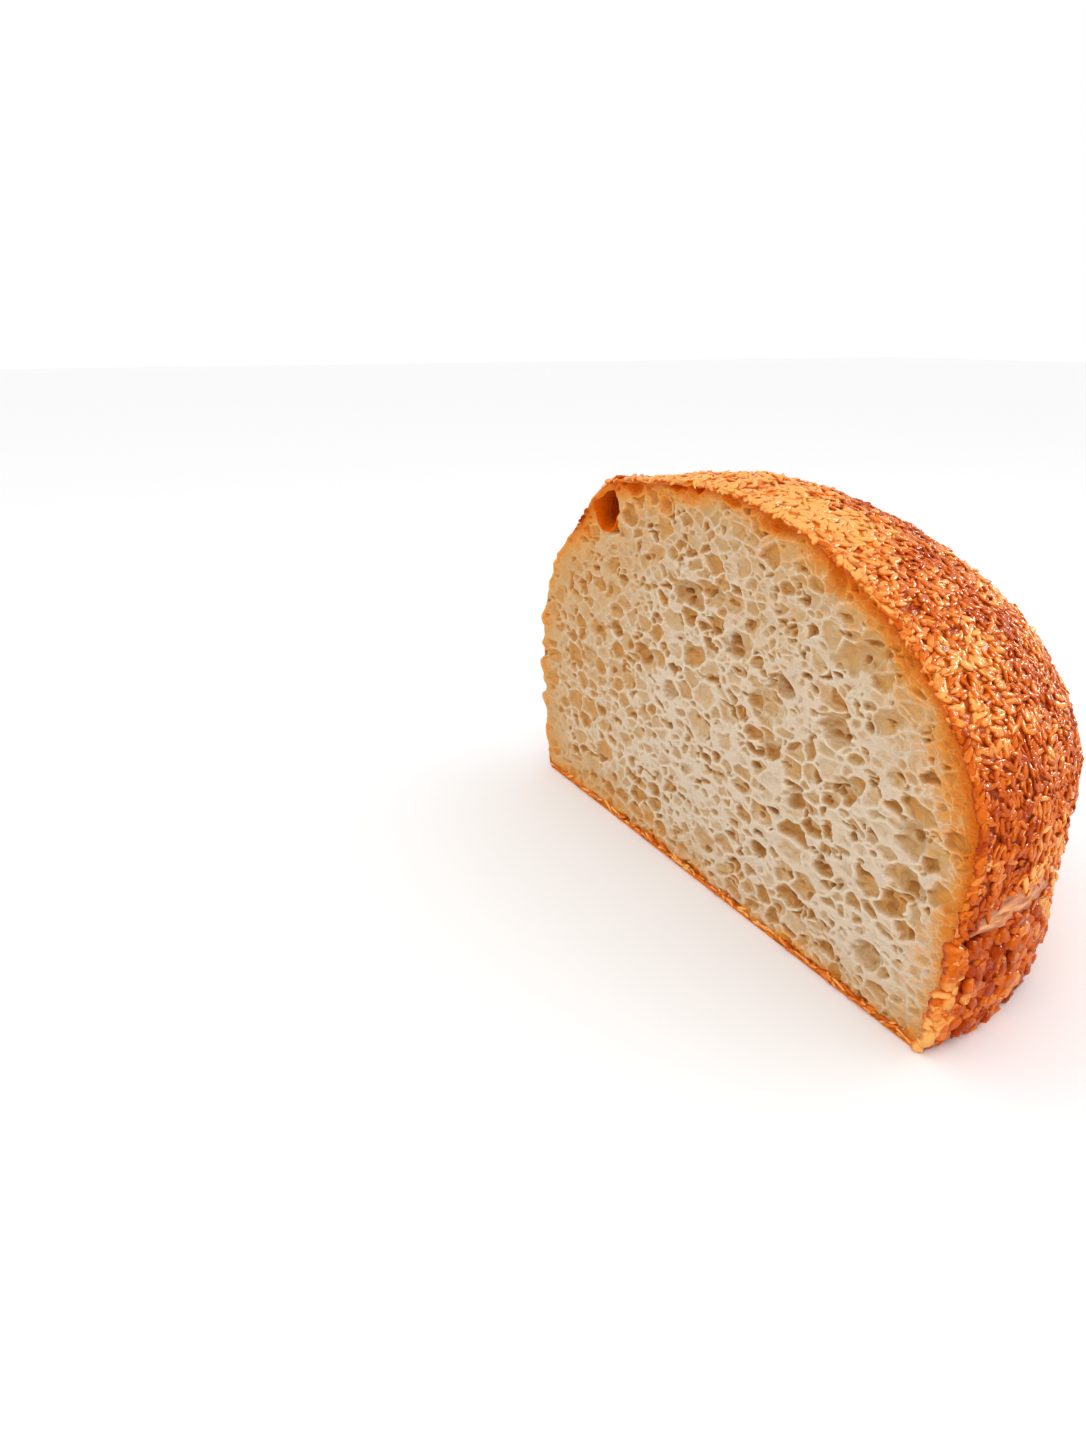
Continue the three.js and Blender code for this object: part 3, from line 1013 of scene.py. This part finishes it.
def thin_out(piece, share):
    """Keeps that share of a piece's triangles, most of them where its surface bends most."""
    modifier = piece.modifiers.new("thin out", "DECIMATE")
    modifier.ratio = share
    full = piece.data
    shaped = piece.evaluated_get(bpy.context.evaluated_depsgraph_get())
    piece.data = bpy.data.meshes.new_from_object(shaped)
    piece.modifiers.clear()
    bpy.data.meshes.remove(full)
    piece.data.name = piece.name


def border_loop(rows, columns):
    """Point numbers round the edge of a grid: along the bottom, up the near side, back along
    the top and down the far side."""
    numbers = np.arange(rows * columns).reshape(rows, columns)
    return np.concatenate([numbers[0, :], numbers[1:, -1], numbers[-1, -2::-1], numbers[-2:0:-1, 0]])


class HALFLOAF_OT_crumb(bpy.types.Operator):
    """Make the cut face with its open cells"""

    bl_idname = "half_loaf.crumb"
    bl_label = "Crumb"

    rows = 590
    columns = 640
    kept = 0.255
    tuck = (1.6 * MM, 0.9 * MM)
    back = (2.5 * MM, 13 * MM)

    def execute(self, context):
        settings = context.scene.half_loaf
        points, shade, stand = crumb_surface(settings.form, settings.crumb, self.rows, self.columns)
        loop = border_loop(self.rows, self.columns)
        middle = np.array([0, CUT_PLANE, settings.form.height * GIRTH_SHARE])
        inward = unit((middle - points[loop]) * (1, 0, 1))
        far = far_end_share(points[loop, 2]) * (points[loop, 0] < 0)
        tucked = points[loop] + inward * self.tuck[0] * far[:, None]
        tucked[:, 1] = CUT_PLANE + self.tuck[1]
        behind = tucked + inward * self.back[0]
        behind[:, 1] = CUT_PLANE + self.back[1]
        faces = grid_quads(self.rows, self.columns).tolist()
        faces += lining_faces(loop, len(points), flipped=True)
        piece = new_object("crumb", np.concatenate([points, tucked, behind]), faces)
        rest = np.zeros(2 * len(loop))
        store(piece, "hollow", np.concatenate([shade, rest]))
        store(piece, "stand", np.concatenate([stand, rest]))
        store(piece, "amber", amber_share(points_of(piece), settings.form))
        thin_out(piece, self.kept)
        dress(piece, crumb_finish(settings.crumb))
        return {"FINISHED"}


def amber_share(points, form):
    """How amber the crumb is: falls off from the crust as e to the power of minus distance
    over a reach that is longest at the near end and shortest along the floor, with broad
    clouds; less at the far end and low at the near end; faintly golden towards the far end
    and the top; bubbles and pocket are amber inside."""
    x, z = points[:, 0], points[:, 2]
    end = x / (form.cut_length / 2)
    far = grown(-end, *AMBER_FAR)
    near = np.clip(end, 0, 1)
    patchy = clouds(points, AMBER_CLOUDS, 1)
    reach = (AMBER_REACH + AMBER_NEAR_REACH * near ** 3) * MM * patchy
    share = np.exp(-distance_to_line(x, z, cut_arch(form)) / reach) * (1 - AMBER_LESS_FAR * far)
    share *= 1 - AMBER_LESS_LOW * near * faded(z, AMBER_LOW)
    share = np.maximum(share, np.exp(-z / (AMBER_FLOOR_REACH * patchy)))
    share += GOLDEN_SHARE * (grown(-end, *GOLDEN_FAR) + grown(z, *GOLDEN_TOP))
    for bubble in BUBBLES:
        share += BUBBLE_AMBER * bowls(x, z, (bubble,)) / (bubble[-1] * MM)
    pocket = pocket_depth(x, z) / (POCKET[-1] * MM)
    rim, middle = POCKET_AMBER
    return np.where(pocket > 0, np.maximum(share, rim + middle * pocket), share)


def crumb_finish(look):
    """Soft cream crumb: painted highlight on standing walls and on the lines of small walls, painted shade
    darker and more tan deeper in the cells, with the crumb's own tan shifts, amber towards the crust.
    """
    finish = Finish("crumb cream")
    grain = finish.noise(900.0, 4.0)
    coarse = finish.scale(finish.foam(280.0, look.stretch), 0.07, 0.01)
    fine = finish.scale(finish.foam(480.0, look.stretch), 0.08, 0.01, 0.0, 0.6)
    wall = finish.math("MAXIMUM", coarse, fine)
    # Painted shade: the deeper a place lies in its cell, the further along the ramp towards dark tan.
    depth = finish.math("ADD", finish.attribute("hollow"), finish.vary(grain, 0.03))
    # Painted highlight: paler where the surface stands above its neighbours and on the lines of small
    # walls.
    depth = finish.less(depth, finish.attribute("stand"), 0.3)
    depth = finish.less(depth, wall, 0.2)
    colour = finish.ramp(depth, (
        (0.0, look.lit_web_colour), (0.3, look.cream_colour),
        (0.6, look.hollow_colour), (1.0, look.deep_shade_tan_colour)))
    near_crust = finish.math("ADD", finish.attribute("amber"), finish.vary(finish.noise(160.0), 0.08))
    # The lines of small walls are also less amber, as painted highlight.
    near_crust = finish.less(near_crust, wall, 0.16)
    for low, high, tint in (
            (0.03, 0.35, look.honey_colour), (0.25, 0.6, look.amber_colour),
            (0.6, 0.95, look.toast_colour), (1.1, 1.8, look.scorch_colour)):
        colour = finish.blend(finish.scale(near_crust, low, high), colour, tint)
    relief = finish.math("ADD", finish.math("MULTIPLY", wall, 0.7), finish.math("MULTIPLY", grain, 0.3))
    finish.bump(relief, 0.0004, 0.7)
    finish.set(
        base_color=colour, roughness=0.42, subsurface_weight=1.0, subsurface_scale=0.0025,
        subsurface_radius=(1.0, 0.85, 0.65),
        specular_ior_level=finish.scale(near_crust, 0.3, 0.9, 0.2, 0.02))
    return finish.material


def browning_light_and_shade(points, form):
    """How brown the crust is at each point, 0 golden to 1 dark: broad and small clouds, darker
    between the lumps as painted shade, with patches as bells, pale on the top by the cut and
    darkest on the skirt, but not at its edge. The pale top and the palest patch are partly
    painted light, the dark skirt partly painted shade."""
    broad = clouds(points, BAKED_AND_LUMP_SHADE_CLOUDS)
    height = points[:, 2]
    skirt = 1 / (1 + np.exp((height - form.fold_height + SKIRT_DROP) / SKIRT_FADE))
    crown = grown(height, *CROWN_RANGE)
    back = points[:, 1] - CUT_PLANE
    behind = grown(back, 0, CROWN_DEPTH)
    for along, away, long, deep, browner in BAKED_AND_LIT_PATCHES:
        broad += browner * bell(points[:, 0] - along * MM, long * MM) * bell(back - away * MM, deep * MM)
    pale = (1 - behind) * (PALE_FAR + (1 - PALE_FAR) * grown(points[:, 0], *PALE_RANGE))
    skirt_tone = SKIRT_TONE - SKIRT_EDGE_PALER * faded(back, SKIRT_EDGE)
    crown_tone = CROWN_BROWNER * behind - CROWN_PALER * pale
    return np.clip(EVEN_TONE + broad + skirt_tone * skirt + crown * crown_tone, 0, 1)


def fold_ridge(height, form):
    """Relief of the fold: a round lip above its line and a crease below, each a bell."""
    above = height - form.fold_height
    return sum(high * MM * bell(above - place * MM, width * MM) for high, place, width in FOLD_BELLS)


def stretched_share(points, form):
    """How pale and bare the skin is: a bell at the fold's lip that fades faster below than
    above, broken up by clouds and strongest a finger's width behind the cut."""
    behind = (points[:, 1] - CUT_PLANE) / STRETCH_DEPTH
    at_cut, rise = STRETCH_RISE
    above = points[:, 2] - form.fold_height - (at_cut + rise * np.clip(behind * 1.5, 0, 1)) * MM
    width = np.where(above > 0, *STRETCH_WIDTHS) * MM * clouds(points, FOLD_CLOUDS, 1)
    at_cut, more = STRETCH_START
    start = at_cut + more * np.clip(behind * 3, 0, 1)
    middle, spread = STRETCH_BELL
    return bell(above, width) * (start * (0.5 + 0.5 * bell(behind - middle, spread)))


def smooth_share(points):
    """How free of seeds the crust is: it grows towards the far end and towards the cut."""
    to_far = grown(-points[:, 0], *BARE_RANGE)
    return BARE_MOST * to_far * faded(points[:, 1] - CUT_PLANE, BARE_DEPTH)


def crust_relief(points, turn, down, form):
    """Height of the crust over its plain form: clouds of three sizes and the fold's ridge; at
    the cut only one of the clouds is left, and nothing at the top and the floor."""
    ends = np.clip(down * TOP_GROWTH, 0, 1) * np.clip((1 - down) * FLOOR_GROWTH, 0, 1)
    behind = np.clip(np.sin(turn) * CUT_GROWTH, 0, 1)
    lift = clouds(points, CRUST_CLOUDS) * behind + clouds(points, CRUST_BUMPS)
    return lift * ends * MM + fold_ridge(points[..., 2], form) * behind


class HALFLOAF_OT_crust(bpy.types.Operator):
    """Make the crust from its outside to the rim round the cut, with its flat bottom"""

    bl_idname = "half_loaf.crust"
    bl_label = "Crust"

    turns = 300
    downs = 270
    foot_points = 60
    middle_height = 0.45
    rim_sunk = 0.1 * MM
    lining = (2.5 * MM, 14 * MM)
    lip_depth = 0.2 * MM
    lip_tone = 0.12

    def execute(self, context):
        settings = context.scene.half_loaf
        form = settings.form
        turn, down = np.meshgrid(
            np.linspace(0, math.pi, self.turns), np.linspace(0, 1, self.downs), indexing="ij")
        skin = crust_point(turn, down, form)
        outward = unit(np.cross(np.gradient(skin, axis=1), np.gradient(skin, axis=0)))
        skin = skin + outward * crust_relief(skin, turn, down, form)[..., None]
        skin[..., 2] = np.maximum(skin[..., 2], 0)
        count = self.turns * self.downs
        number = np.arange(count).reshape(self.turns, self.downs)
        foot_line = np.linspace(skin[-1, -1], skin[0, -1], self.foot_points)[1:-1]
        rim = np.concatenate([number[-1, ::-1], number[0, 1:]])
        foot = count + np.arange(len(foot_line))
        edge = np.concatenate([rim, foot[::-1]])
        points = np.concatenate([skin.reshape(-1, 3), foot_line])
        middle = np.array([0, CUT_PLANE, form.height * self.middle_height])
        inward = unit(middle - points[edge])
        thick = form.crust_thickness * clouds(points[edge], RIM_CLOUDS, 1)
        inner = points[edge] + inward * thick[:, None]
        inner[:, 1] = CUT_PLANE + self.rim_sunk
        deep = inner + inward * self.lining[0]
        deep[:, 1] = CUT_PLANE + self.lining[1]
        bottom = np.concatenate([number[:, -1], foot])
        faces = grid_quads(self.turns, self.downs).tolist() + lining_faces(edge, len(points))
        piece = new_object("crust", np.concatenate([points, inner, deep]), faces + [bottom.tolist()])
        close_seams(piece)
        spot = points_of(piece)
        on_lip = spot[:, 1] < CUT_PLANE + self.lip_depth
        lip = clouds(spot, LIP_CLOUDS, self.lip_tone)
        store(piece, "browning_light_and_shade", np.where(on_lip, lip, browning_light_and_shade(spot, form)))
        store(piece, "stretched", stretched_share(spot, form))
        dress(piece, crust_finish(settings.crust))
        return {"FINISHED"}


def close_seams(piece):
    """Merges points that lie on each other and turns all faces outwards."""
    shell = bmesh.new()
    shell.from_mesh(piece.data)
    bmesh.ops.remove_doubles(shell, verts=shell.verts, dist=1e-6)
    bmesh.ops.recalc_face_normals(shell, faces=shell.faces)
    shell.to_mesh(piece.data)
    shell.free()


def crust_finish(look):
    """Baked crust between the seeds: brown and darker than the seeds, partly its own colour and partly
    painted shade in the gaps between them; darker in patches, pale and smooth on the fold.
    """
    finish = Finish("baked crust")
    speckle = finish.vary(finish.noise(420.0, 4.0), 0.2)
    bake_light_and_shade = finish.math("ADD", finish.attribute("browning_light_and_shade"), speckle)
    brown = finish.ramp(bake_light_and_shade, (
        (0.12, look.golden_colour), (0.45, look.brown_colour), (0.9, look.dark_colour)))
    streak = finish.scale(finish.streaks(900.0, 7.0), 0.35, 0.65, 0.2, 1.0)
    bare = finish.math("MULTIPLY", finish.attribute("stretched"), streak)
    colour = finish.blend(bare, brown, look.stretched_colour)
    finish.bump(finish.noise(900.0, 4.0), 0.0006, 0.6)
    finish.set(
        base_color=colour, roughness=0.3, specular_ior_level=0.12, specular_tint=WARM_GLINT,
        subsurface_weight=0.08, subsurface_scale=0.001, subsurface_radius=(1.0, 0.4, 0.15))
    return finish.material


def seed_form(sides=8):
    """A flat teardrop of unit half length: a low dome of two rings over a keel.
    Points are (ring radius cos a, ring radius sin a (1 - taper cos a), ring height)."""
    angle = np.linspace(0, 2 * math.pi, sides, endpoint=False)
    points = [(0.0, 0.0, SEED_TOP)]
    for radius, height in SEED_RINGS:
        ring = np.stack([
            radius * np.cos(angle), radius * np.sin(angle) * (1 - SEED_TAPER * np.cos(angle)),
            np.full(sides, height)], axis=-1)
        points.extend(map(tuple, ring))
    points.append((0.0, 0.0, SEED_KEEL))
    ring = np.arange(sides)
    after = np.roll(ring, -1)
    cap = np.stack([np.zeros(sides, int), 1 + ring, 1 + after], axis=-1)
    upper = np.stack([1 + ring, 1 + sides + ring, 1 + sides + after], axis=-1)
    lower = np.stack([1 + ring, 1 + sides + after, 1 + after], axis=-1)
    keel = np.stack([1 + sides + ring, np.full(sides, 1 + 2 * sides), 1 + sides + after], axis=-1)
    return np.array(points), np.concatenate([cap, upper, lower, keel])


def spread_on_crust(count, form, draw):
    """Evenly spread (turn, down) places: shares of a two-way golden sequence, shaken a
    little, are carried through the running sums of the crust's area."""
    turns, downs = 181, 201
    turn, down = np.meshgrid(np.linspace(0, math.pi, turns), np.linspace(0, 1, downs), indexing="ij")
    skin = crust_point(turn, down, form)
    edge_turn = skin[1:, :-1] - skin[:-1, :-1]
    edge_down = skin[:-1, 1:] - skin[:-1, :-1]
    area = np.linalg.norm(np.cross(edge_turn, edge_down), axis=-1)
    shares = []
    for power in (1, 2):
        even = (0.5 + np.arange(count) / TWO_WAY_GOLDEN ** power) % 1
        shake = draw.normal(0, SEED_SHAKE / math.sqrt(count), count)
        shares.append(np.clip(even + shake, 0, 1 - 1e-9))
    first, second = shares
    by_down = np.concatenate([[0], np.cumsum(area.sum(axis=0))])
    place_down = np.interp(first * by_down[-1], by_down, np.linspace(0, 1, downs))
    along = np.cumsum(area, axis=0) / area.sum(axis=0)
    row = np.clip((place_down * (downs - 1)).astype(int), 0, downs - 2)
    place_turn = np.empty(count)
    for level in np.unique(row):
        chosen = row == level
        sums = np.concatenate([[0], along[:, level]])
        place_turn[chosen] = np.interp(second[chosen], sums, np.linspace(0, math.pi, turns))
    return place_turn, place_down


def spread_on_rim(count, draw):
    """(turn, down) places close along the rim of the cut: most of them from the near foot to
    the top, the others from the top to where the far end shows its crumb."""
    near = draw.random(count) < RIM_NEAR_SHARE
    turn = np.abs(draw.normal(0, RIM_TURN, count))
    down = draw.uniform(*RIM_DOWN, count)
    return np.where(near, turn, math.pi - turn), np.where(near, down, RIM_FAR_DOWN * down)


def base_places(count, form, draw):
    """Places along the floor line of the cut, a little above it: the place, the way along the
    line and the way out of the cut."""
    foot = cut_outline(2, form)[[0, -1]]
    place = foot[0] + (foot[1] - foot[0]) * draw.random(count)[:, None]
    place[:, 1] += BASE_SUNK
    place[:, 2] = draw.uniform(*BASE_HEIGHTS, count)
    return place, np.tile((1.0, 0.0, 0.0), (count, 1)), np.tile((0.0, -1.0, 0.0), (count, 1))


def crust_places(turn, down, form):
    """Places on the crust at (turn, down), the way round the loaf there and the way out of the
    crust, which leans over the cut on its rim."""
    step = 1e-3
    place = crust_point(turn, down, form)
    along = unit(crust_point(turn + step, down, form) - crust_point(turn - step, down, form))
    fall = crust_point(turn, np.minimum(down + step, 1), form) - crust_point(turn, down - step, form)
    out = unit(np.cross(fall, along))
    place = place + out * crust_relief(place, turn, down, form)[:, None]
    out[:, 1] -= RIM_LEAN * faded(np.sin(turn), 4 * RIM_TURN)
    return place, along, out


def lay_seeds(shape, place, along, out, heading, size, lift, draw):
    """Points of seeds that lie at their places: each has the shape scaled, turned to its
    heading, tipped a little and lifted."""
    out = unit(out + draw.normal(0, SEED_TIP, out.shape))
    side = unit(np.cross(out, along))
    along = np.cross(side, out)
    cos, sin = np.cos(heading)[:, None], np.sin(heading)[:, None]
    axes = (along * cos + side * sin, side * cos - along * sin, out)
    points = (place + out * (lift * size[:, 2])[:, None])[:, None, :]
    for way, axis in enumerate(axes):
        points = points + shape[None, :, way, None] * (axis * size[:, way:way + 1])[:, None, :]
    return points.reshape(-1, 3)


class HALFLOAF_OT_seeds(bpy.types.Operator):
    """Cover the crust with seeds: pale to toasted ones on the dome and the rim of the cut, coarse
    ones on the skirt, with thin strands along the floor line of the cut"""

    bl_idname = "half_loaf.seeds"
    bl_label = "Seeds"

    draws = 23
    far_edge_depth = 2.5 * MM
    lowest = 1.2 * MM
    fold_bare = 1.3
    tone_spread = 0.14
    skirt_spread = 1.4
    amber_from = 0.35
    toasted_from = 0.5
    skirt_kept = 0.6
    headings = (0, math.pi / 2, 0)
    heading_spreads = (math.pi, 0.45, 0.3)
    size_spread = 0.13
    size_limits = (0.7, 1.4)
    lifts = (-0.35, 0.35)

    def execute(self, context):
        settings = context.scene.half_loaf
        form, look = settings.form, settings.seeds
        draw = np.random.default_rng(self.draws)
        on_crust = spread_on_crust(look.count, form, draw)
        on_rim = spread_on_rim(look.rim_count, draw)
        turn, down = (np.concatenate(pair) for pair in zip(on_crust, on_rim))
        on_crust, on_base = crust_places(turn, down, form), base_places(look.base_count, form, draw)
        place, along, out = (np.concatenate(pair) for pair in zip(on_crust, on_base))
        total = len(place)
        height = place[:, 2]
        far_side = (place[:, 1] < CUT_PLANE + self.far_edge_depth) & (place[:, 0] < 0)
        clear = (height > self.lowest) & ~(far_side & (far_end_share(height) > 0.5))
        missing = np.maximum(self.fold_bare * stretched_share(place, form), smooth_share(place))
        clear &= draw.random(total) > missing
        skirt = height < form.fold_height
        counts = (look.count, look.rim_count, look.base_count)
        shift = np.repeat((0, RIM_TONE, BASE_TONE), counts)
        spread = np.where(skirt, self.skirt_spread, 1)
        # The tone carries the crust's painted light and shade as well as its browning.
        tone = browning_light_and_shade(place, form) + shift + draw.normal(0, self.tone_spread, total) * spread
        heading = draw.normal(np.repeat(self.headings, counts), np.repeat(self.heading_spreads, counts))
        dome = clear & ~skirt
        kinds = {
            "pale_seeds": dome & (tone < self.amber_from),
            "amber_seeds": dome & (tone >= self.amber_from) & (tone < self.toasted_from),
            "toasted_seeds": dome & (tone >= self.toasted_from),
            "skirt_seeds": clear & skirt & (draw.random(total) < self.skirt_kept),
        }
        finish = seed_finish(look)
        shape, shape_faces = seed_form()
        sizes = np.tile((look.length / 2, look.width / 2, look.thickness / 2), (total, 1))
        sizes[skirt] *= SKIRT_FORM
        sizes[-look.base_count:] *= np.array(BASE_FORM) / SKIRT_FORM
        for name, chosen in kinds.items():
            count = int(chosen.sum())
            size = sizes[chosen] * draw.normal(1, self.size_spread, (count, 3)).clip(*self.size_limits)
            lift = draw.uniform(*self.lifts, count)
            points = lay_seeds(
                shape, place[chosen], along[chosen], out[chosen], heading[chosen], size, lift, draw)
            points[:, 1] = np.maximum(points[:, 1], CUT_PLANE - RIM_REACH)
            points[:, 2] = np.maximum(points[:, 2], 0)
            faces = np.arange(count)[:, None, None] * len(shape) + shape_faces
            piece = new_object(name, points, faces.reshape(-1, 3).tolist())
            store(piece, "tone", np.repeat(tone[chosen], len(shape)))
            store(piece, "top", np.tile(shape[:, 2], count))
            dress(piece, finish)
        return {"FINISHED"}


def seed_finish(look):
    """Toasted seeds: each with its own tone, a painted highlight on top and painted shade towards its rim
    and keel, a little glossy.
    """
    finish = Finish("toasted seed")
    tone = finish.attribute("tone")
    # Painted highlight and shade: each seed paler at its top and darker towards its rim and keel.
    top = finish.scale(finish.attribute("top"), -0.2, 1.0, 0.32, -0.2)
    speckle = finish.vary(finish.noise(700.0), 0.1)
    toast = finish.math("ADD", finish.math("ADD", tone, top), speckle)
    colour = finish.ramp(toast, (
        (0.1, look.pale_colour), (0.45, look.amber_colour), (0.92, look.toasted_colour)))
    finish.bump(finish.noise(1500.0), 0.0003, 0.4)
    finish.set(
        base_color=colour, roughness=0.22, specular_ior_level=0.12, specular_tint=WARM_GLINT,
        subsurface_weight=0.12, subsurface_scale=0.0008, subsurface_radius=(1.0, 0.45, 0.15))
    return finish.material


class HALFLOAF_OT_stage(bpy.types.Operator):
    """Make the floor, the light and the camera"""

    bl_idname = "half_loaf.stage"
    bl_label = "Stage"

    camera_place = (0.2473, -0.2342, 0.1746)
    camera_turn = math.radians(63.02)
    camera_tip = math.radians(21.33)
    focal_pixels = 1000
    long_side_pixels = 1448
    key_place = (0.45, -0.6, 0.8)
    fill_place = (0.3, 0.5, 0.9)
    light_size = 0.6
    glints = {"back glint": (0.2, 0.85, 0.5), "side glint": (0.95, 0.35, 0.6)}
    glint_size = 0.1
    light_aim = (0, 0, 0.06)
    floor_reach = 6.0
    floor_points = 25
    floor_drop = 0.0002

    def execute(self, context):
        scene = context.scene
        look = scene.half_loaf.stage
        self.make_floor(look)
        self.make_light("key light", self.key_place, self.light_size, look.key_power)
        self.make_light("fill light", self.fill_place, self.light_size, look.fill_power)
        for name, place in self.glints.items():
            glint = self.make_light(name, place, self.glint_size, look.glint_power)
            glint.visible_diffuse = False
        world = bpy.data.worlds.new("even light")
        world.use_nodes = True
        sky = world.node_tree.nodes["Background"]
        sky.inputs["Color"].default_value = (1, 1, 1, 1)
        sky.inputs["Strength"].default_value = look.sky_strength
        scene.world = world
        scene.view_settings.view_transform = "Standard"
        self.make_camera(scene)
        return {"FINISHED"}

    def make_floor(self, look):
        """A wide flat sheet a hair below the loaf."""
        across = np.linspace(-self.floor_reach, self.floor_reach, self.floor_points)
        x, y = np.meshgrid(across, across, indexing="ij")
        points = np.stack([x, y, np.full_like(x, -self.floor_drop)], axis=-1).reshape(-1, 3)
        floor = new_object("floor", points, grid_quads(len(across), len(across)).tolist())
        floor.data.flip_normals()
        finish = Finish("pale floor")
        finish.set(base_color=(*look.floor_colour, 1), roughness=0.9, specular_ior_level=0.1)
        floor.data.materials.append(finish.material)

    def make_light(self, name, place, size, power):
        """A square soft light that looks at the middle of the loaf."""
        data = bpy.data.lights.new(name, "AREA")
        data.size = size
        data.energy = power
        light = bpy.data.objects.new(name, data)
        light.location = place
        aim = Vector(self.light_aim) - Vector(place)
        light.rotation_euler = aim.to_track_quat("-Z", "Y").to_euler()
        bpy.context.scene.collection.objects.link(light)
        return light

    def make_camera(self, scene):
        """The camera looks down on the cut from beyond the near end."""
        data = bpy.data.cameras.new("camera")
        data.sensor_width = 36
        data.lens = data.sensor_width * self.focal_pixels / self.long_side_pixels
        data.clip_start = 0.01
        camera = bpy.data.objects.new("camera", data)
        camera.location = self.camera_place
        level = math.cos(self.camera_tip)
        ahead = Vector((
            -math.sin(self.camera_turn) * level, math.cos(self.camera_turn) * level,
            -math.sin(self.camera_tip)))
        camera.rotation_euler = ahead.to_track_quat("-Z", "Y").to_euler()
        scene.collection.objects.link(camera)
        scene.camera = camera


class HALFLOAF_PT_panel(bpy.types.Panel):
    """Lists the pieces of the half loaf"""

    bl_idname = "HALFLOAF_PT_panel"
    bl_label = "Half Loaf"
    bl_space_type = "VIEW_3D"
    bl_region_type = "UI"
    bl_category = "Half Loaf"

    def draw(self, context):
        settings = context.scene.half_loaf
        for operator in PIECES:
            self.layout.operator(operator.bl_idname)
        for group in (settings.form, settings.crumb, settings.crust, settings.seeds, settings.stage):
            box = self.layout.box()
            for key in group.__annotations__:
                box.prop(group, key)


PIECES = (HALFLOAF_OT_crumb, HALFLOAF_OT_crust, HALFLOAF_OT_seeds, HALFLOAF_OT_stage)
CLASSES = (
    LoafForm, CrumbLook, CrustLook, SeedLook, StageLook, HalfLoafSettings, *PIECES, HALFLOAF_PT_panel)


def register():
    for cls in CLASSES:
        bpy.utils.register_class(cls)
    bpy.types.Scene.half_loaf = PointerProperty(type=HalfLoafSettings)


def unregister():
    del bpy.types.Scene.half_loaf
    for cls in reversed(CLASSES):
        bpy.utils.unregister_class(cls)


def main():
    register()
    bpy.ops.half_loaf.crumb()
    bpy.ops.half_loaf.crust()
    bpy.ops.half_loaf.seeds()
    bpy.ops.half_loaf.stage()


if __name__ == "__main__":
    main()
